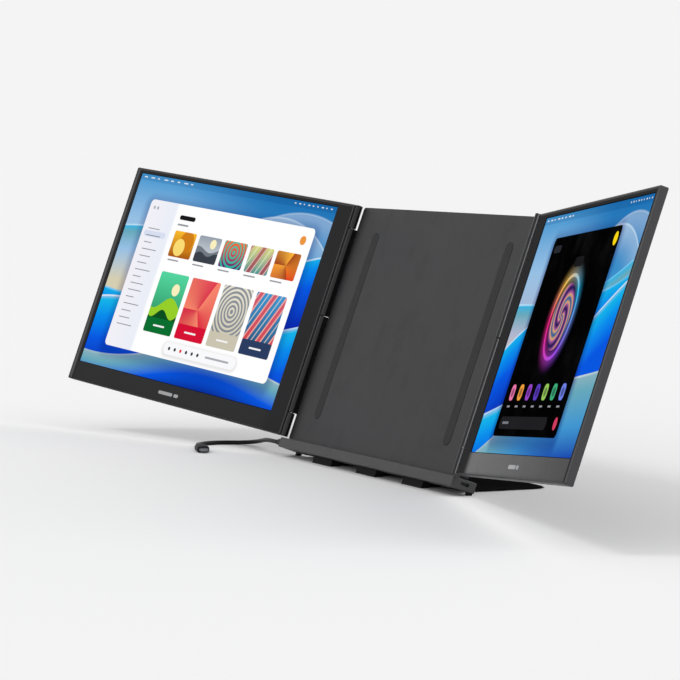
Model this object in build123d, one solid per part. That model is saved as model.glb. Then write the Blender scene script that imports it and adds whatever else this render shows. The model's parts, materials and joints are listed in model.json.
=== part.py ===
from build123d import *
import os
from math import asin, atan2, cos, degrees, pi, radians, tan

# A laptop screen extender: a centre unit that stands behind a laptop, with a screen hinged at each side.
# Millimetres. X is the user's right, Y points away from the user, Z is up.
# The origin is on the table, at the middle of the sole of the rail's middle foot.
#
# The centre unit is drawn upright in its own frame and then leaned back. In that frame X is across,
# Y is depth behind the plane of the laptop's lid, and Z is height up the unit.
# A side screen is drawn in a frame of its own: X is out from the hinge axis, Y is depth behind the
# screen's front, and Z is height above its bottom edge.

# ---- stance
lean = 20.0                   # centre unit, back from upright
rest_fold = {-1: 15.2, 1: 14.3}   # left and right screen, forward of flat
rail_lift = 1.3               # table to the end blocks' lower rear edge

# ---- display and its frame
active_width = 323.1          # 15 inch, 16 to 10
active_height = 201.9
outer_border = 9.0
hinge_border = 23.4
top_border = 4.5
chin = 19.3
screen_thickness = 6.5
screen_wall = 1.2
screen_corner = 1.5           # radius of the shell's corners
screen_edge_round = 0.7       # radius round the shell's back
rim = 0.3                     # shell edge proud of the bezel
rim_bevel = 0.3               # round the shell's front
bezel_thickness = 0.9
bezel_gap = 0.2               # all round, between bezel and shell
panel_thickness = 1.2
panel_overlap = 2.5           # panel hidden under the bezel at the sides and top
panel_foot = 8.0              # panel hidden under the chin
backlight_thickness = 2.0
led_height = 2.0
led_depth = 1.5
led_count = 30
led_share = 0.5               # of its pitch and of the strip's height

# ---- screen hinges
barrel_radius = 3.2
barrel_bevel = 0.4            # at each barrel's ends
pin_radius = 1.6
pin_play = 0.05               # running clearance round every pin
hinge_gap = 3.8               # hinge axis to the screen's edge
knuckle_share = 0.10          # of the screen's height, at its top and at its bottom
spine_split_share = 0.52      # where the lower spine meets the upper one
knuckle_slit = 0.5            # gap between barrels
pin_grip = 14.0               # pin's length inside the spine
pin_end_room = 1.0            # bore beyond the pin's end
pin_sink = 0.4                # pin's outer end below the knuckle's
leaf_thickness = 1.6
leaf_reach = 19.0             # leaf's length inside the screen
leaf_cover = 0.15             # between leaf and bezel
slot_play = 0.1               # round the leaf where it enters the shell

# ---- back plate
plate_thickness = 7.5
plate_wall = 1.2
plate_corner = 3.0
plate_edge_round = 1.0
plate_front_bevel = 0.4
plate_front = 13.0            # behind the plane of the lid
stack_gap = 0.5               # between folded screens, and between them and the plate
fold_clearance = 5.5          # folded screen's far edge to the opposite barrel
hinge_offset = 2.8            # hinge axis beyond the plate's edge
flange_thickness = 2.2
flange_inset = 0.5            # ahead of the plate's back
frame_bar = 8.0
crossbar_shares = (0.34, 0.67)
cover_screw_shares = (0.05, 0.34, 0.67, 0.95)
spine_screw_shares = (0.2, 0.8)
bumper_width = 14.0
bumper_inset = 46.0           # from the plate's side edge to the strip's middle
bumper_end = 24.0             # from the plate's top and bottom
bumper_proud = 0.3
bumper_round = 6.0
bumper_bed = 0.5              # depth of the groove that holds a bumper
bumper_play = 0.1             # all round, in its groove

# ---- base rail
rail_front = 5.8
rail_depth = 16.7
rail_bottom = 2.4
rail_height = 9.1
rail_wall = 1.3
rail_round = 0.6
screen_lift = 1.7             # screens' bottom edge above the rail
block_length = 21.0
block_depth = 22.8
block_proud = 1.8             # beyond the back plate's edge
block_end_wall = 1.5
block_round = 1.0
tongue_width = 24.0
tongue_thickness = 3.5
tongue_place = 2.0            # behind the plate's front
tongue_spacing = 120.0
tongue_foot = 1.0             # tongue's end above the rail's floor
tongue_play = 0.1
cover_play = 0.1

# ---- ports and boards
port_depth = 17.8
port_height = 7.4
port_width = 8.94
port_thickness = 3.26
port_length = 7.3
port_wall = 0.25
port_back = 1.0               # receptacle's closed back
port_play = 0.05
port_inset = 0.4              # receptacle's mouth behind the end face
port_bevel = 0.3              # round the opening in the end face
tongue_blade = (6.6, 0.7)     # width and thickness of the contact blade
blade_inset = 1.4
board_thickness = 1.0
board_margin = 0.5
board_rib = 2.0
board_rib_spacing = 70.0
board_rib_count = 5
board_width = 7.3
chip_height = 1.3
driver_shares = (0.22, 0.45)  # of the screen's width, where the driver board lies
driver_height = 8.0
driver_chip_shares = (0.12, 0.38, 0.62, 0.86)   # along the driver board
driver_chip_length = (8.0, 6.8, 4.4, 10.0)
driver_chip_height = (6.0, 6.8, 5.2, 4.4)
hub_chip_shares = (-0.85, -0.6, -0.3, -0.08, 0.3, 0.6, 0.85)   # from the rail's middle to its ends
hub_chip_length = (10.0, 6.0, 10.0, 5.0, 12.0, 6.0, 10.0)
hub_chip_depth = 5.2

# ---- kickstand
stand_barrel = 2.6            # radius
stand_thickness = 2.6
stand_length = 79.0
stand_bevel_under = 6.0
stand_bevel_over = 3.5
stand_tip_rise = 0.7
stand_end_gap = 0.6
stand_pin_radius = 1.3
stand_pin_grip = 14.0
stand_pin_seat = 7.0
stand_axis_inset = 3.0        # axis ahead of the end block's rear face
stand_notch = (60.0, 5.0)     # finger notch at the far edge: length and depth
stand_edge_bevel = 0.5        # along the plate's upper side edges
stand_foot_width = 13.0
stand_sole = 0.45             # foot strip's thickness at its far edge
stow_gap = 0.3                # tip to the back plate when stowed

# ---- feet
foot_inset = 2.0
end_foot = (6.0, 3.6)         # a small foot under the block's rear corner: length and depth
rail_foot_depth = 8.0
rail_foot_length = 40.0
rail_foot_spacing = 95.0
foot_edge = 0.5               # from the rear edge it stands under

# ---- buttons
button_radius = 2.4
button_play = 0.15
button_flange = 0.8
button_flange_thickness = 0.5
flange_play = 0.05            # flange to the shell's inner face
button_round = 0.3
button_sink = 0.1             # cap below the shell's back
button_travel = 0.5
button_spring_gap = 0.1       # left above the switch at full travel
button_spacing = 14.0
button_edge = 22.0            # nearest button to the screen's outer edge
dish_radius = 5.0
dish_depth = 0.4
key_board_thickness = 0.8
key_board_margin = 7.0
key_board_height = 8.0
switch_side = 3.6

# ---- fasteners
screw_radius = 1.0
screw_play = 0.15
head_radius = 1.9
head_height = 0.7
post_radius = 2.3
small_screw_radius = 0.8
recess_reach = 2.7            # cross recess in a screw's head: length, width and depth
recess_arm = 0.5
recess_depth = 0.35
post_shares = (0.16, 0.50, 0.80)        # along the chin
side_post_shares = (0.35, 0.65)         # up the hinge side
leaf_screw_shares = (0.25, 0.75)        # of a knuckle's length

# ---- inner ribbon cables
ribbon_width = 6.0
ribbon_thickness = 0.4
ribbon_turn_share = 0.40
ribbon_play = 0.3

# ---- cable
cable_diameter = 4.0
cable_lift = 0.05             # above the table
plug_width = 11.6
plug_thickness = 6.2
plug_length = 20.0
plug_round = 2.4
relief_length = 12.0
relief_radius = 2.9
relief_tip = 2.3
plug_shell = (8.25, 2.4, 6.65)
plug_shell_wall = 0.3
plug_seat_gap = 0.2

# ---- worked out from the above
screen_width = hinge_border + active_width + outer_border
screen_height = chin + active_height + top_border
screen_reach = hinge_gap + screen_width
hinge_x = (screen_reach + fold_clearance + barrel_radius) / 2
plate_half = hinge_x - hinge_offset
plate_back = plate_front + plate_thickness
screen_front = plate_front - stack_gap - screen_thickness
rail_top = rail_bottom + rail_height
rail_back = rail_front + rail_depth
screen_bottom = rail_top + screen_lift
screen_top = screen_bottom + screen_height
port_face = plate_half + block_proud
rail_half = port_face - block_length
block_back = rail_front + block_depth
past = 1.0                    # how far a cut runs past the face that it opens
panel_front = rim + bezel_thickness
panel_back = panel_front + panel_thickness
backlight_back = panel_back + backlight_thickness
shell_floor = screen_thickness - screen_wall
leaf_front = panel_front + leaf_cover
leaf_back = leaf_front + leaf_thickness
knuckle_length = knuckle_share * screen_height
board_top = port_height - port_thickness / 2
board_under = board_top - board_thickness
stand_axis = (block_back - stand_axis_inset, rail_bottom + stand_barrel)
# Folded, the left screen stays at its own depth and the right one lies just in front of it.
axis_depth = {-1: screen_front + screen_thickness / 2, 1: screen_front - stack_gap / 2}
side_name = {-1: "left", 1: "right"}

# The end blocks' lower rear edge is rail_lift above the table, and this far behind the origin.
foot_middle = rail_back - foot_edge - rail_foot_depth / 2
rear_edge_y = (block_back - foot_middle) / cos(radians(lean)) + rail_lift * tan(radians(lean))
rear_edge = Location((0, rear_edge_y, rail_lift), (-lean, 0, 0))
lean_frame = rear_edge * Location((0, -block_back, -rail_bottom))


def to_table(x, depth, height):
    """A point of the centre unit's own frame, in the table's frame."""
    return (lean_frame * Location((x, depth, height))).position


stand_hinge = to_table(0, *stand_axis)
stand_sole_reach = stand_length - stand_bevel_under
stand_slope = degrees(asin((stand_hinge.Z - stand_barrel - stand_sole) / stand_sole_reach))
stand_frame = Location(stand_hinge, (-stand_slope, 0, 0))
stow_extra = degrees(asin((stand_axis[0] - plate_back - stow_gap) / (stand_length - stand_bevel_over)))
stow_angle = 90 - lean + stand_slope + stow_extra


# ---- helpers
def block(x, y, z):
    """A box between the low and high values given along each axis."""
    size = [high - low for low, high in (x, y, z)]
    return Pos(x[0], y[0], z[0]) * Box(*size, align=(Align.MIN, Align.MIN, Align.MIN))


def rod(radius, axis, centre, span):
    """A cylinder along X, Y or Z: its centre in the other two, and its span along the axis."""
    turn = {"X": Rot(0, 90, 0), "Y": Rot(-90, 0, 0), "Z": Rot(0, 0, 0)}[axis]
    start = {
        "X": (span[0], centre[0], centre[1]),
        "Y": (centre[0], span[0], centre[1]),
        "Z": (centre[0], centre[1], span[0]),
    }[axis]
    bar = Cylinder(radius, span[1] - span[0], align=(Align.CENTER, Align.CENTER, Align.MIN))
    return Pos(*start) * turn * bar


def screw(shank, length):
    """A flat-headed screw along +Z, its head's top at the origin and its tip at -length."""
    low = (Align.CENTER, Align.CENTER, Align.MAX)
    body = Cylinder(head_radius, head_height, align=low) + Cylinder(shank, length, align=low)
    for turn in (0, 90):
        body -= Rot(0, 0, turn) * Box(recess_reach, recess_arm, recess_depth, align=low)
    return body


def mirrored(side, piece):
    """A piece drawn for the right side, on the side asked for."""
    return piece if side > 0 else piece.mirror(Plane.YZ)


def leaned(piece):
    """A piece of the centre unit, in its place."""
    return lean_frame * piece


def hung(side, piece):
    """A piece of a side screen, in its place on its hinge."""
    swing = Pos(side * hinge_x, axis_depth[side], screen_bottom) * Rot(0, 0, -side * rest_fold[side])
    return lean_frame * swing * Pos(0, screen_front - axis_depth[side], 0) * mirrored(side, piece)


def barrel(centre, span):
    """A length of hinge barrel along Z, bevelled at both ends."""
    tube = rod(barrel_radius, "Z", centre, span)
    return chamfer(tube.edges().filter_by(GeomType.CIRCLE), barrel_bevel)


def bench(pieces):
    """Several solids of one node."""
    return Compound(children=[solid for piece in pieces for solid in piece.solids()])


# ---- side screen, drawn for the right side
shell_x = (hinge_gap, screen_reach)
active_x = (hinge_gap + hinge_border, screen_reach - outer_border)
active_z = (chin, chin + active_height)
panel_x = (active_x[0] - panel_overlap, active_x[1] + panel_overlap)
panel_z = (chin - panel_foot, active_z[1] + panel_overlap)
inner_x = (shell_x[0] + screen_wall, shell_x[1] - screen_wall)
inner_z = (screen_wall, screen_height - screen_wall)
chin_middle = (inner_z[0] + panel_z[0]) / 2
side_middle = (inner_x[0] + panel_x[0]) / 2
knuckles = ((0, knuckle_length), (screen_height - knuckle_length, screen_height))
post_places = [(shell_x[0] + share * screen_width, chin_middle) for share in post_shares]
post_places += [(side_middle, share * screen_height) for share in side_post_shares]
post_meet = (panel_front + shell_floor) / 2
button_x = [shell_x[1] - button_edge - n * button_spacing for n in (0, 1)]
button_names = ("power_button", "menu_button")
leaf_screw_z = [low + share * knuckle_length for low, _ in knuckles for share in leaf_screw_shares]


def rear_shell():
    """The tray that forms a screen's back and sides."""
    shell = block(shell_x, (0, screen_thickness), (0, screen_height))
    shell = fillet(shell.edges().filter_by(Axis.Y), screen_corner)
    shell = fillet(shell.faces().sort_by(Axis.Y)[-1].edges(), screen_edge_round)
    shell = chamfer(shell.faces().sort_by(Axis.Y)[0].edges(), rim_bevel)
    shell -= block(inner_x, (-past, shell_floor), inner_z)
    for x, z in post_places:
        shell += rod(post_radius, "Y", (x, z), (post_meet, shell_floor))
        shell -= rod(small_screw_radius + screw_play, "Y", (x, z), (post_meet, screen_thickness))
        shell -= rod(
            head_radius + screw_play, "Y", (x, z), (screen_thickness - head_height, screen_thickness)
        )
    for low, high in knuckles:
        pad_z = (max(low, inner_z[0]), min(high, inner_z[1]))
        shell += block((inner_x[0], inner_x[0] + leaf_reach - screen_wall), (leaf_back, shell_floor), pad_z)
        slot_z = (low - slot_play, high + past) if low > 0 else (low - past, high + slot_play)
        slot_y = (leaf_front - slot_play, leaf_back + slot_play)
        shell -= block((shell_x[0] - past, inner_x[0]), slot_y, slot_z)
    for z in leaf_screw_z:
        shell -= rod(screw_radius, "Y", (side_middle, z), (leaf_back, shell_floor))
    for x in button_x:
        shell -= rod(dish_radius, "Y", (x, chin_middle), (screen_thickness - dish_depth, screen_thickness))
        shell -= rod(button_radius + button_play, "Y", (x, chin_middle), (shell_floor, screen_thickness))
    return shell


def bezel():
    """The front frame with its wide chin, and the bosses that its screws bite into."""
    frame = block(
        (inner_x[0] + bezel_gap, inner_x[1] - bezel_gap),
        (rim, panel_front),
        (inner_z[0] + bezel_gap, inner_z[1] - bezel_gap),
    )
    frame -= block(active_x, (0, panel_front + past), active_z)
    for x, z in post_places:
        frame += rod(post_radius, "Y", (x, z), (panel_front, post_meet))
        frame -= rod(small_screw_radius, "Y", (x, z), (panel_front, post_meet))
    return frame


def lcd_panel():
    """The display glass, from under the chin to under the top border."""
    return block(panel_x, (panel_front, panel_back), panel_z)


def backlight():
    """Light guide, diffusers and tray, above the LED strip."""
    return block(panel_x, (panel_back, backlight_back), (panel_z[0] + led_height, panel_z[1]))


def led_strip():
    """The flexible strip under the light guide, with its row of LEDs."""
    y = (panel_back, panel_back + led_depth)
    led_foot = panel_z[0] + led_share * led_height
    strip = block(panel_x, y, (panel_z[0], led_foot))
    pitch = (panel_x[1] - panel_x[0]) / led_count
    for n in range(led_count):
        x = panel_x[0] + n * pitch
        strip += block((x, x + led_share * pitch), y, (led_foot, panel_z[0] + led_height))
    return strip


driver_x = tuple(shell_x[0] + share * screen_width for share in driver_shares)


def driver_board():
    """The display's driver board, behind the chin."""
    z = (chin_middle - driver_height / 2, chin_middle + driver_height / 2)
    return block(driver_x, (panel_front, panel_front + board_thickness), z)


def driver_chips():
    """Scaler, power converter and connectors on the driver board."""
    top = panel_front + board_thickness
    length = driver_x[1] - driver_x[0]
    chips = []
    for share, wide, high in zip(driver_chip_shares, driver_chip_length, driver_chip_height):
        x = driver_x[0] + share * length
        z = (chin_middle - high / 2, chin_middle + high / 2)
        chips.append(block((x - wide / 2, x + wide / 2), (top, top + chip_height), z))
    return chips


def hinge_leaves(side):
    """The two steel leaves, each with the knuckle that turns on the spine's end."""
    axis_y = axis_depth[side] - screen_front
    leaves = []
    for low, high in knuckles:
        z = (low, high - knuckle_slit / 2) if low == 0 else (low + knuckle_slit / 2, high)
        inside = (max(z[0], inner_z[0]), min(z[1], inner_z[1]))
        leaf = block((0, inner_x[0]), (leaf_front, leaf_back), z)
        leaf += block((inner_x[0], inner_x[0] + leaf_reach - screen_wall), (leaf_front, leaf_back), inside)
        leaf += barrel((0, axis_y), z)
        leaf -= rod(pin_radius, "Z", (0, axis_y), z)
        leaves.append(leaf)
    for z in leaf_screw_z:
        n = int(z > screen_height / 2)
        leaves[n] -= rod(screw_radius, "Y", (side_middle, z), (leaf_front, leaf_back))
        leaves[n] -= rod(head_radius, "Y", (side_middle, z), (leaf_front, leaf_front + head_height))
    return leaves


def hinge_pins(side):
    """The friction pins, fast in the leaves' knuckles and running in the spines."""
    axis_y = axis_depth[side] - screen_front
    low_top = knuckles[0][1] + pin_grip
    high_foot = knuckles[1][0] - pin_grip
    return [
        rod(pin_radius, "Z", (0, axis_y), (pin_sink, low_top)),
        rod(pin_radius, "Z", (0, axis_y), (high_foot, screen_height - pin_sink)),
    ]


def leaf_screws():
    """Two screws through each leaf into its pad."""
    length = shell_floor - leaf_front
    return [
        Pos(side_middle, leaf_front, z) * Rot(90, 0, 0) * screw(screw_radius, length)
        for z in leaf_screw_z
    ]


def shell_screws():
    """The screws that hold the rear shell to the bezel's bosses."""
    length = screen_thickness - panel_front
    return [
        Pos(x, screen_thickness, z) * Rot(-90, 0, 0) * screw(small_screw_radius, length)
        for x, z in post_places
    ]


button_inner = shell_floor - flange_play - button_flange_thickness


def button(x):
    """A cap that shows in its dish, with the flange that keeps it in."""
    cap = rod(button_radius, "Y", (x, chin_middle), (button_inner, screen_thickness - button_sink))
    cap = fillet(cap.edges().sort_by(Axis.Y)[-1], button_round)
    flange = rod(
        button_radius + button_flange, "Y", (x, chin_middle),
        (button_inner, button_inner + button_flange_thickness),
    )
    return cap + flange


def key_board():
    """The small board under the two buttons, with its switches."""
    x = (min(button_x) - key_board_margin, max(button_x) + key_board_margin)
    z = (chin_middle - key_board_height / 2, chin_middle + key_board_height / 2)
    top = panel_front + key_board_thickness
    board = block(x, (panel_front, top), z)
    switch_top = button_inner - button_travel - button_spring_gap
    for middle in button_x:
        board += block(
            (middle - switch_side / 2, middle + switch_side / 2),
            (top, switch_top),
            (chin_middle - switch_side / 2, chin_middle + switch_side / 2),
        )
    return board


# ---- back plate
plate_x = (-plate_half, plate_half)
plate_z = (rail_top, screen_top)
cavity_x = (-plate_half + plate_wall, plate_half - plate_wall)
cavity_y = (plate_front + plate_wall, plate_back - plate_wall)
cavity_z = (plate_z[0] + plate_wall, plate_z[1] - plate_wall)
tongue_y = (plate_front + tongue_place, plate_front + tongue_place + tongue_thickness)
tongue_x = [n * tongue_spacing for n in (-1, 0, 1)]
cover_screw_places = [
    (sign * (cavity_x[1] - frame_bar / 2), plate_z[0] + share * (plate_z[1] - plate_z[0]))
    for sign in (-1, 1) for share in cover_screw_shares
]
bumper_z = (plate_z[0] + bumper_end, plate_z[1] - bumper_end)
ribbon_x = (cavity_x[1] - frame_bar - ribbon_width - ribbon_play, cavity_x[1] - frame_bar - ribbon_play)
ribbon_y = (cavity_y[1] - ribbon_thickness, cavity_y[1])
ribbon_turn_z = plate_z[0] + ribbon_turn_share * (plate_z[1] - plate_z[0])


def front_cover():
    """The flat front of the back plate, with the grooves that hold the bumpers."""
    cover = block(plate_x, (plate_front, cavity_y[0]), plate_z)
    cover = fillet(cover.edges().filter_by(Axis.Y), plate_corner)
    cover = chamfer(cover.faces().sort_by(Axis.Y)[0].edges(), plate_front_bevel)
    for groove in bumper_strips(0, bumper_play):
        cover -= groove
    return cover


def bumper_strips(proud, play):
    """The silicone strips that the lid leans on, or with some play the grooves that hold them."""
    strips = []
    for sign in (-1, 1):
        middle = sign * (plate_half - bumper_inset)
        half = bumper_width / 2 + play
        strip = block(
            (middle - half, middle + half),
            (plate_front - proud, plate_front + bumper_bed),
            (bumper_z[0] - play, bumper_z[1] + play),
        )
        strips.append(fillet(strip.edges().filter_by(Axis.Y), bumper_round + play))
    return strips


def rear_cover():
    """The tray that forms the back and edges of the back plate."""
    cover = block(plate_x, (cavity_y[0], plate_back), plate_z)
    cover = fillet(cover.edges().filter_by(Axis.Y), plate_corner)
    cover = fillet(cover.faces().sort_by(Axis.Y)[-1].edges(), plate_edge_round)
    cover -= block(cavity_x, (cavity_y[0] - past, cavity_y[1]), cavity_z)
    for x in tongue_x:
        cover -= tongue_hole(x, (plate_z[0] - past, cavity_z[0]))
    for sign in (-1, 1):
        cover -= mirrored(sign, ribbon_hole((plate_z[0] - past, cavity_z[0])))
    for x, z in cover_screw_places:
        cover -= rod(screw_radius + screw_play, "Y", (x, z), (cavity_y[1], plate_back))
        cover -= rod(head_radius + screw_play, "Y", (x, z), (plate_back - head_height, plate_back))
    for side, depth, z in spine_screw_places():
        wall = (side * cavity_x[1], side * plate_half)
        cover -= rod(screw_radius + screw_play, "X", (depth, z), (min(wall), max(wall)))
    return cover


def tongue_hole(x, z):
    """The slot that a tongue of the stiffener frame passes through."""
    half = tongue_width / 2 + tongue_play
    return block((x - half, x + half), (tongue_y[0] - tongue_play, tongue_y[1] + tongue_play), z)


def ribbon_hole(z):
    """The slot that a ribbon cable passes through, on the right."""
    x = (ribbon_x[0] - ribbon_play, ribbon_x[1] + ribbon_play)
    return block(x, (ribbon_y[0] - ribbon_play, ribbon_y[1]), z)


def stiffener_frame():
    """The steel frame between the covers, with three tongues that stand in the rail."""
    frame = block(cavity_x, cavity_y, cavity_z)
    levels = [cavity_z[0]]
    cavity_height = cavity_z[1] - cavity_z[0]
    levels += [cavity_z[0] + share * cavity_height - frame_bar / 2 for share in crossbar_shares]
    levels += [cavity_z[1] - frame_bar]
    for low, high in zip(levels, levels[1:]):
        bay_x = (cavity_x[0] + frame_bar, cavity_x[1] - frame_bar)
        frame -= block(bay_x, (cavity_y[0] - past, cavity_y[1] + past), (low + frame_bar, high))
    tongue_z = (rail_bottom + rail_wall + tongue_foot, cavity_z[0] + frame_bar)
    for x in tongue_x:
        frame += block((x - tongue_width / 2, x + tongue_width / 2), tongue_y, tongue_z)
        frame -= rod(screw_radius, "Y", (x, port_height), tongue_y)
    for sign in (-1, 1):
        for bar in ribbon_notches():
            frame -= mirrored(sign, bar)
    for x, z in cover_screw_places:
        frame -= rod(screw_radius, "Y", (x, z), cavity_y)
    for side, depth, z in spine_screw_places():
        span = sorted((side * (cavity_x[1] - frame_bar / 2), side * cavity_x[1]))
        frame -= rod(screw_radius, "X", (depth, z), span)
    return frame


def ribbon_notches():
    """Where the frame's bars make room for the right ribbon cable."""
    upright = block(
        (ribbon_x[0] - ribbon_play, ribbon_x[1] + ribbon_play),
        (ribbon_y[0] - ribbon_play, ribbon_y[1] + past),
        (cavity_z[0] - past, ribbon_turn_z + ribbon_width + ribbon_play),
    )
    outward = block(
        (ribbon_x[0] - ribbon_play, cavity_x[1] + past),
        (ribbon_y[0] - ribbon_play, ribbon_y[1] + past),
        (ribbon_turn_z - ribbon_play, ribbon_turn_z + ribbon_width + ribbon_play),
    )
    return upright, outward


def ribbon():
    """The ribbon cable from the hub board up to the hinge, on the right."""
    upright = block(ribbon_x, ribbon_y, (board_top, ribbon_turn_z + ribbon_width))
    outward = block((ribbon_x[0], cavity_x[1]), ribbon_y, (ribbon_turn_z, ribbon_turn_z + ribbon_width))
    return upright + outward


def cover_screws():
    """The screws that hold the rear cover to the stiffener frame."""
    return [
        Pos(x, plate_back, z) * Rot(-90, 0, 0) * screw(screw_radius, plate_back - cavity_y[0])
        for x, z in cover_screw_places
    ]


# ---- hinge spines
spine_levels = [
    screen_bottom + share * screen_height for share in (knuckle_share, spine_split_share, 1 - knuckle_share)
]
spine_spans = {
    "lower": (spine_levels[0] + knuckle_slit / 2, spine_levels[1] - knuckle_slit / 2),
    "upper": (spine_levels[1] + knuckle_slit / 2, spine_levels[2] - knuckle_slit / 2),
}


def spine_screw_places():
    """Side, depth and height of each spine screw."""
    middle = (cavity_y[0] + cavity_y[1]) / 2
    return [
        (side, middle, low + share * (high - low))
        for side in (-1, 1) for low, high in spine_spans.values() for share in spine_screw_shares
    ]


def spine(side, level):
    """A length of barrel with the flange that fastens it to the back plate's edge."""
    low, high = spine_spans[level]
    flange_x = (plate_half, plate_half + flange_thickness)
    flange = block(flange_x, (axis_depth[side], plate_back - flange_inset), (low, high))
    body = barrel((hinge_x, axis_depth[side]), (low, high)) + flange
    bore = pin_grip + pin_end_room
    span = (low, low + bore) if level == "lower" else (high - bore, high)
    body -= rod(pin_radius + pin_play, "Z", (hinge_x, axis_depth[side]), span)
    for screw_side, depth, z in spine_screw_places():
        if screw_side == side and low < z < high:
            outer = plate_half + flange_thickness
            body -= rod(screw_radius + screw_play, "X", (depth, z), (plate_half, outer))
            body -= rod(head_radius + screw_play, "X", (depth, z), (outer - head_height, outer))
    return mirrored(side, body)


def spine_screws():
    """The screws through the spines' flanges into the stiffener frame."""
    length = flange_thickness + plate_wall + frame_bar / 2
    outer = plate_half + flange_thickness
    return [
        Pos(side * outer, depth, z) * Rot(0, side * 90, 0) * screw(screw_radius, length)
        for side, depth, z in spine_screw_places()
    ]


# ---- base rail
rail_floor = rail_bottom + rail_wall
rail_ceiling = rail_top - rail_wall
rail_inner = rail_front + rail_wall


def base_rail():
    """The bar under the back plate: a channel open at its back and ends, with ribs under the hub board."""
    rail = block((-rail_half, rail_half), (rail_front, rail_back), (rail_bottom, rail_top))
    rail = fillet(rail.edges().filter_by(Axis.X), rail_round)
    hollow_x = (-rail_half - past, rail_half + past)
    rail -= block(hollow_x, (rail_inner, rail_back + past), (rail_floor, rail_ceiling))
    for n in range(board_rib_count):
        middle = (n - (board_rib_count - 1) / 2) * board_rib_spacing
        rib_y = (rail_inner, rail_inner + board_margin + board_width)
        rail += block((middle - board_rib / 2, middle + board_rib / 2), rib_y, (rail_floor, board_under))
    for x in tongue_x:
        rail -= tongue_hole(x, (rail_ceiling, rail_top + past))
    return rail


def rail_cover():
    """The strip that closes the rail from behind, with bosses that reach the tongues."""
    cover = block(
        (-rail_half, rail_half),
        (rail_back - rail_wall, rail_back),
        (rail_floor + cover_play, rail_ceiling - cover_play),
    )
    for x in tongue_x:
        cover += rod(post_radius, "Y", (x, port_height), (tongue_y[1], rail_back - rail_wall))
        cover -= rod(screw_radius + screw_play, "Y", (x, port_height), (tongue_y[1], rail_back))
        cover -= rod(head_radius + screw_play, "Y", (x, port_height), (rail_back - head_height, rail_back))
    return cover


def rail_screws():
    """The screws through the rail cover into the tongues."""
    return [
        Pos(x, rail_back, port_height) * Rot(-90, 0, 0) * screw(screw_radius, rail_back - tongue_y[0])
        for x in tongue_x
    ]


def port_slot(width, thickness, span):
    """The long round-ended shape of a port, along X."""
    shape = Rot(0, 90, 0) * Rot(0, 0, 90) * SlotOverall(width, thickness)
    return Pos(span[0], port_depth, port_height) * extrude(shape, span[1] - span[0], dir=(1, 0, 0))


def end_block():
    """The block at the rail's end, with the port's opening and the seat of the kickstand's pin."""
    body = block((rail_half, port_face), (rail_front, block_back), (rail_bottom, rail_top))
    body = fillet(body.edges().filter_by(Axis.X) + body.faces().sort_by(Axis.X)[-1].edges(), block_round)
    hollow_x = (rail_half - past, port_face - block_end_wall)
    body -= block(hollow_x, (rail_inner, rail_back), (rail_floor, rail_ceiling))
    opening = (port_width + 2 * port_play, port_thickness + 2 * port_play)
    body -= port_slot(*opening, (port_face - block_end_wall, port_face))
    body = chamfer(body.faces().sort_by(Axis.X)[-1].inner_wires().edges(), port_bevel)
    body -= rod(stand_pin_radius, "X", stand_axis, (rail_half, rail_half + stand_pin_seat))
    body -= ribbon_hole((rail_ceiling, rail_top + past))
    return body


def port():
    """A USB-C receptacle: its shell, its closed back and its contact blade."""
    back = port_face - port_inset - port_length
    front = port_face - port_inset
    shell = port_slot(port_width, port_thickness, (back, front))
    inner = (port_width - 2 * port_wall, port_thickness - 2 * port_wall)
    shell -= port_slot(*inner, (back + port_back, front))
    half_width, half_thickness = tongue_blade[0] / 2, tongue_blade[1] / 2
    return shell + block(
        (back, front - blade_inset),
        (port_depth - half_width, port_depth + half_width),
        (port_height - half_thickness, port_height + half_thickness),
    )


def hub_board():
    """The board along the rail, wide in the end blocks where the ports and ribbon cables meet it."""
    y = (rail_inner + board_margin, rail_inner + board_margin + board_width)
    end = port_face - block_end_wall - board_margin
    board = block((-end, end), y, (board_under, board_top))
    wide = (rail_half + board_margin, end)
    for sign in (-1, 1):
        x = sorted((sign * wide[0], sign * wide[1]))
        board += block(x, (y[0], rail_back - board_margin / 2), (board_under, board_top))
    return board


def hub_chips():
    """Graphics, power and connector chips along the hub board."""
    middle = rail_inner + board_margin + board_width / 2
    chips = []
    y = (middle - hub_chip_depth / 2, middle + hub_chip_depth / 2)
    for share, length in zip(hub_chip_shares, hub_chip_length):
        x = share * rail_half
        chips.append(block((x - length / 2, x + length / 2), y, (board_top, board_top + chip_height)))
    return chips


# ---- what stands on the table
table_half = 2 * screen_width
above_table = block((-table_half, table_half), (-table_half, table_half), (0, screen_top))


def feet():
    """Wedge-shaped rubber feet with flat soles, under the outer rear corners and under the rail."""
    soles = []
    for sign in (-1, 1):
        outer = port_face - foot_inset
        x = sorted((sign * (outer - end_foot[0]), sign * outer))
        soles.append(wedge(x, (block_back - foot_edge - end_foot[1], block_back - foot_edge)))
    for n in (-1, 0, 1):
        middle = n * rail_foot_spacing
        x = (middle - rail_foot_length / 2, middle + rail_foot_length / 2)
        soles.append(wedge(x, (foot_middle - rail_foot_depth / 2, foot_middle + rail_foot_depth / 2)))
    return soles


def wedge(x, y):
    """A foot from the rail's underside to the table."""
    return leaned(block(x, y, (rail_bottom - block_depth, rail_bottom))) & above_table


stand_half = rail_half - stand_end_gap


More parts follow.
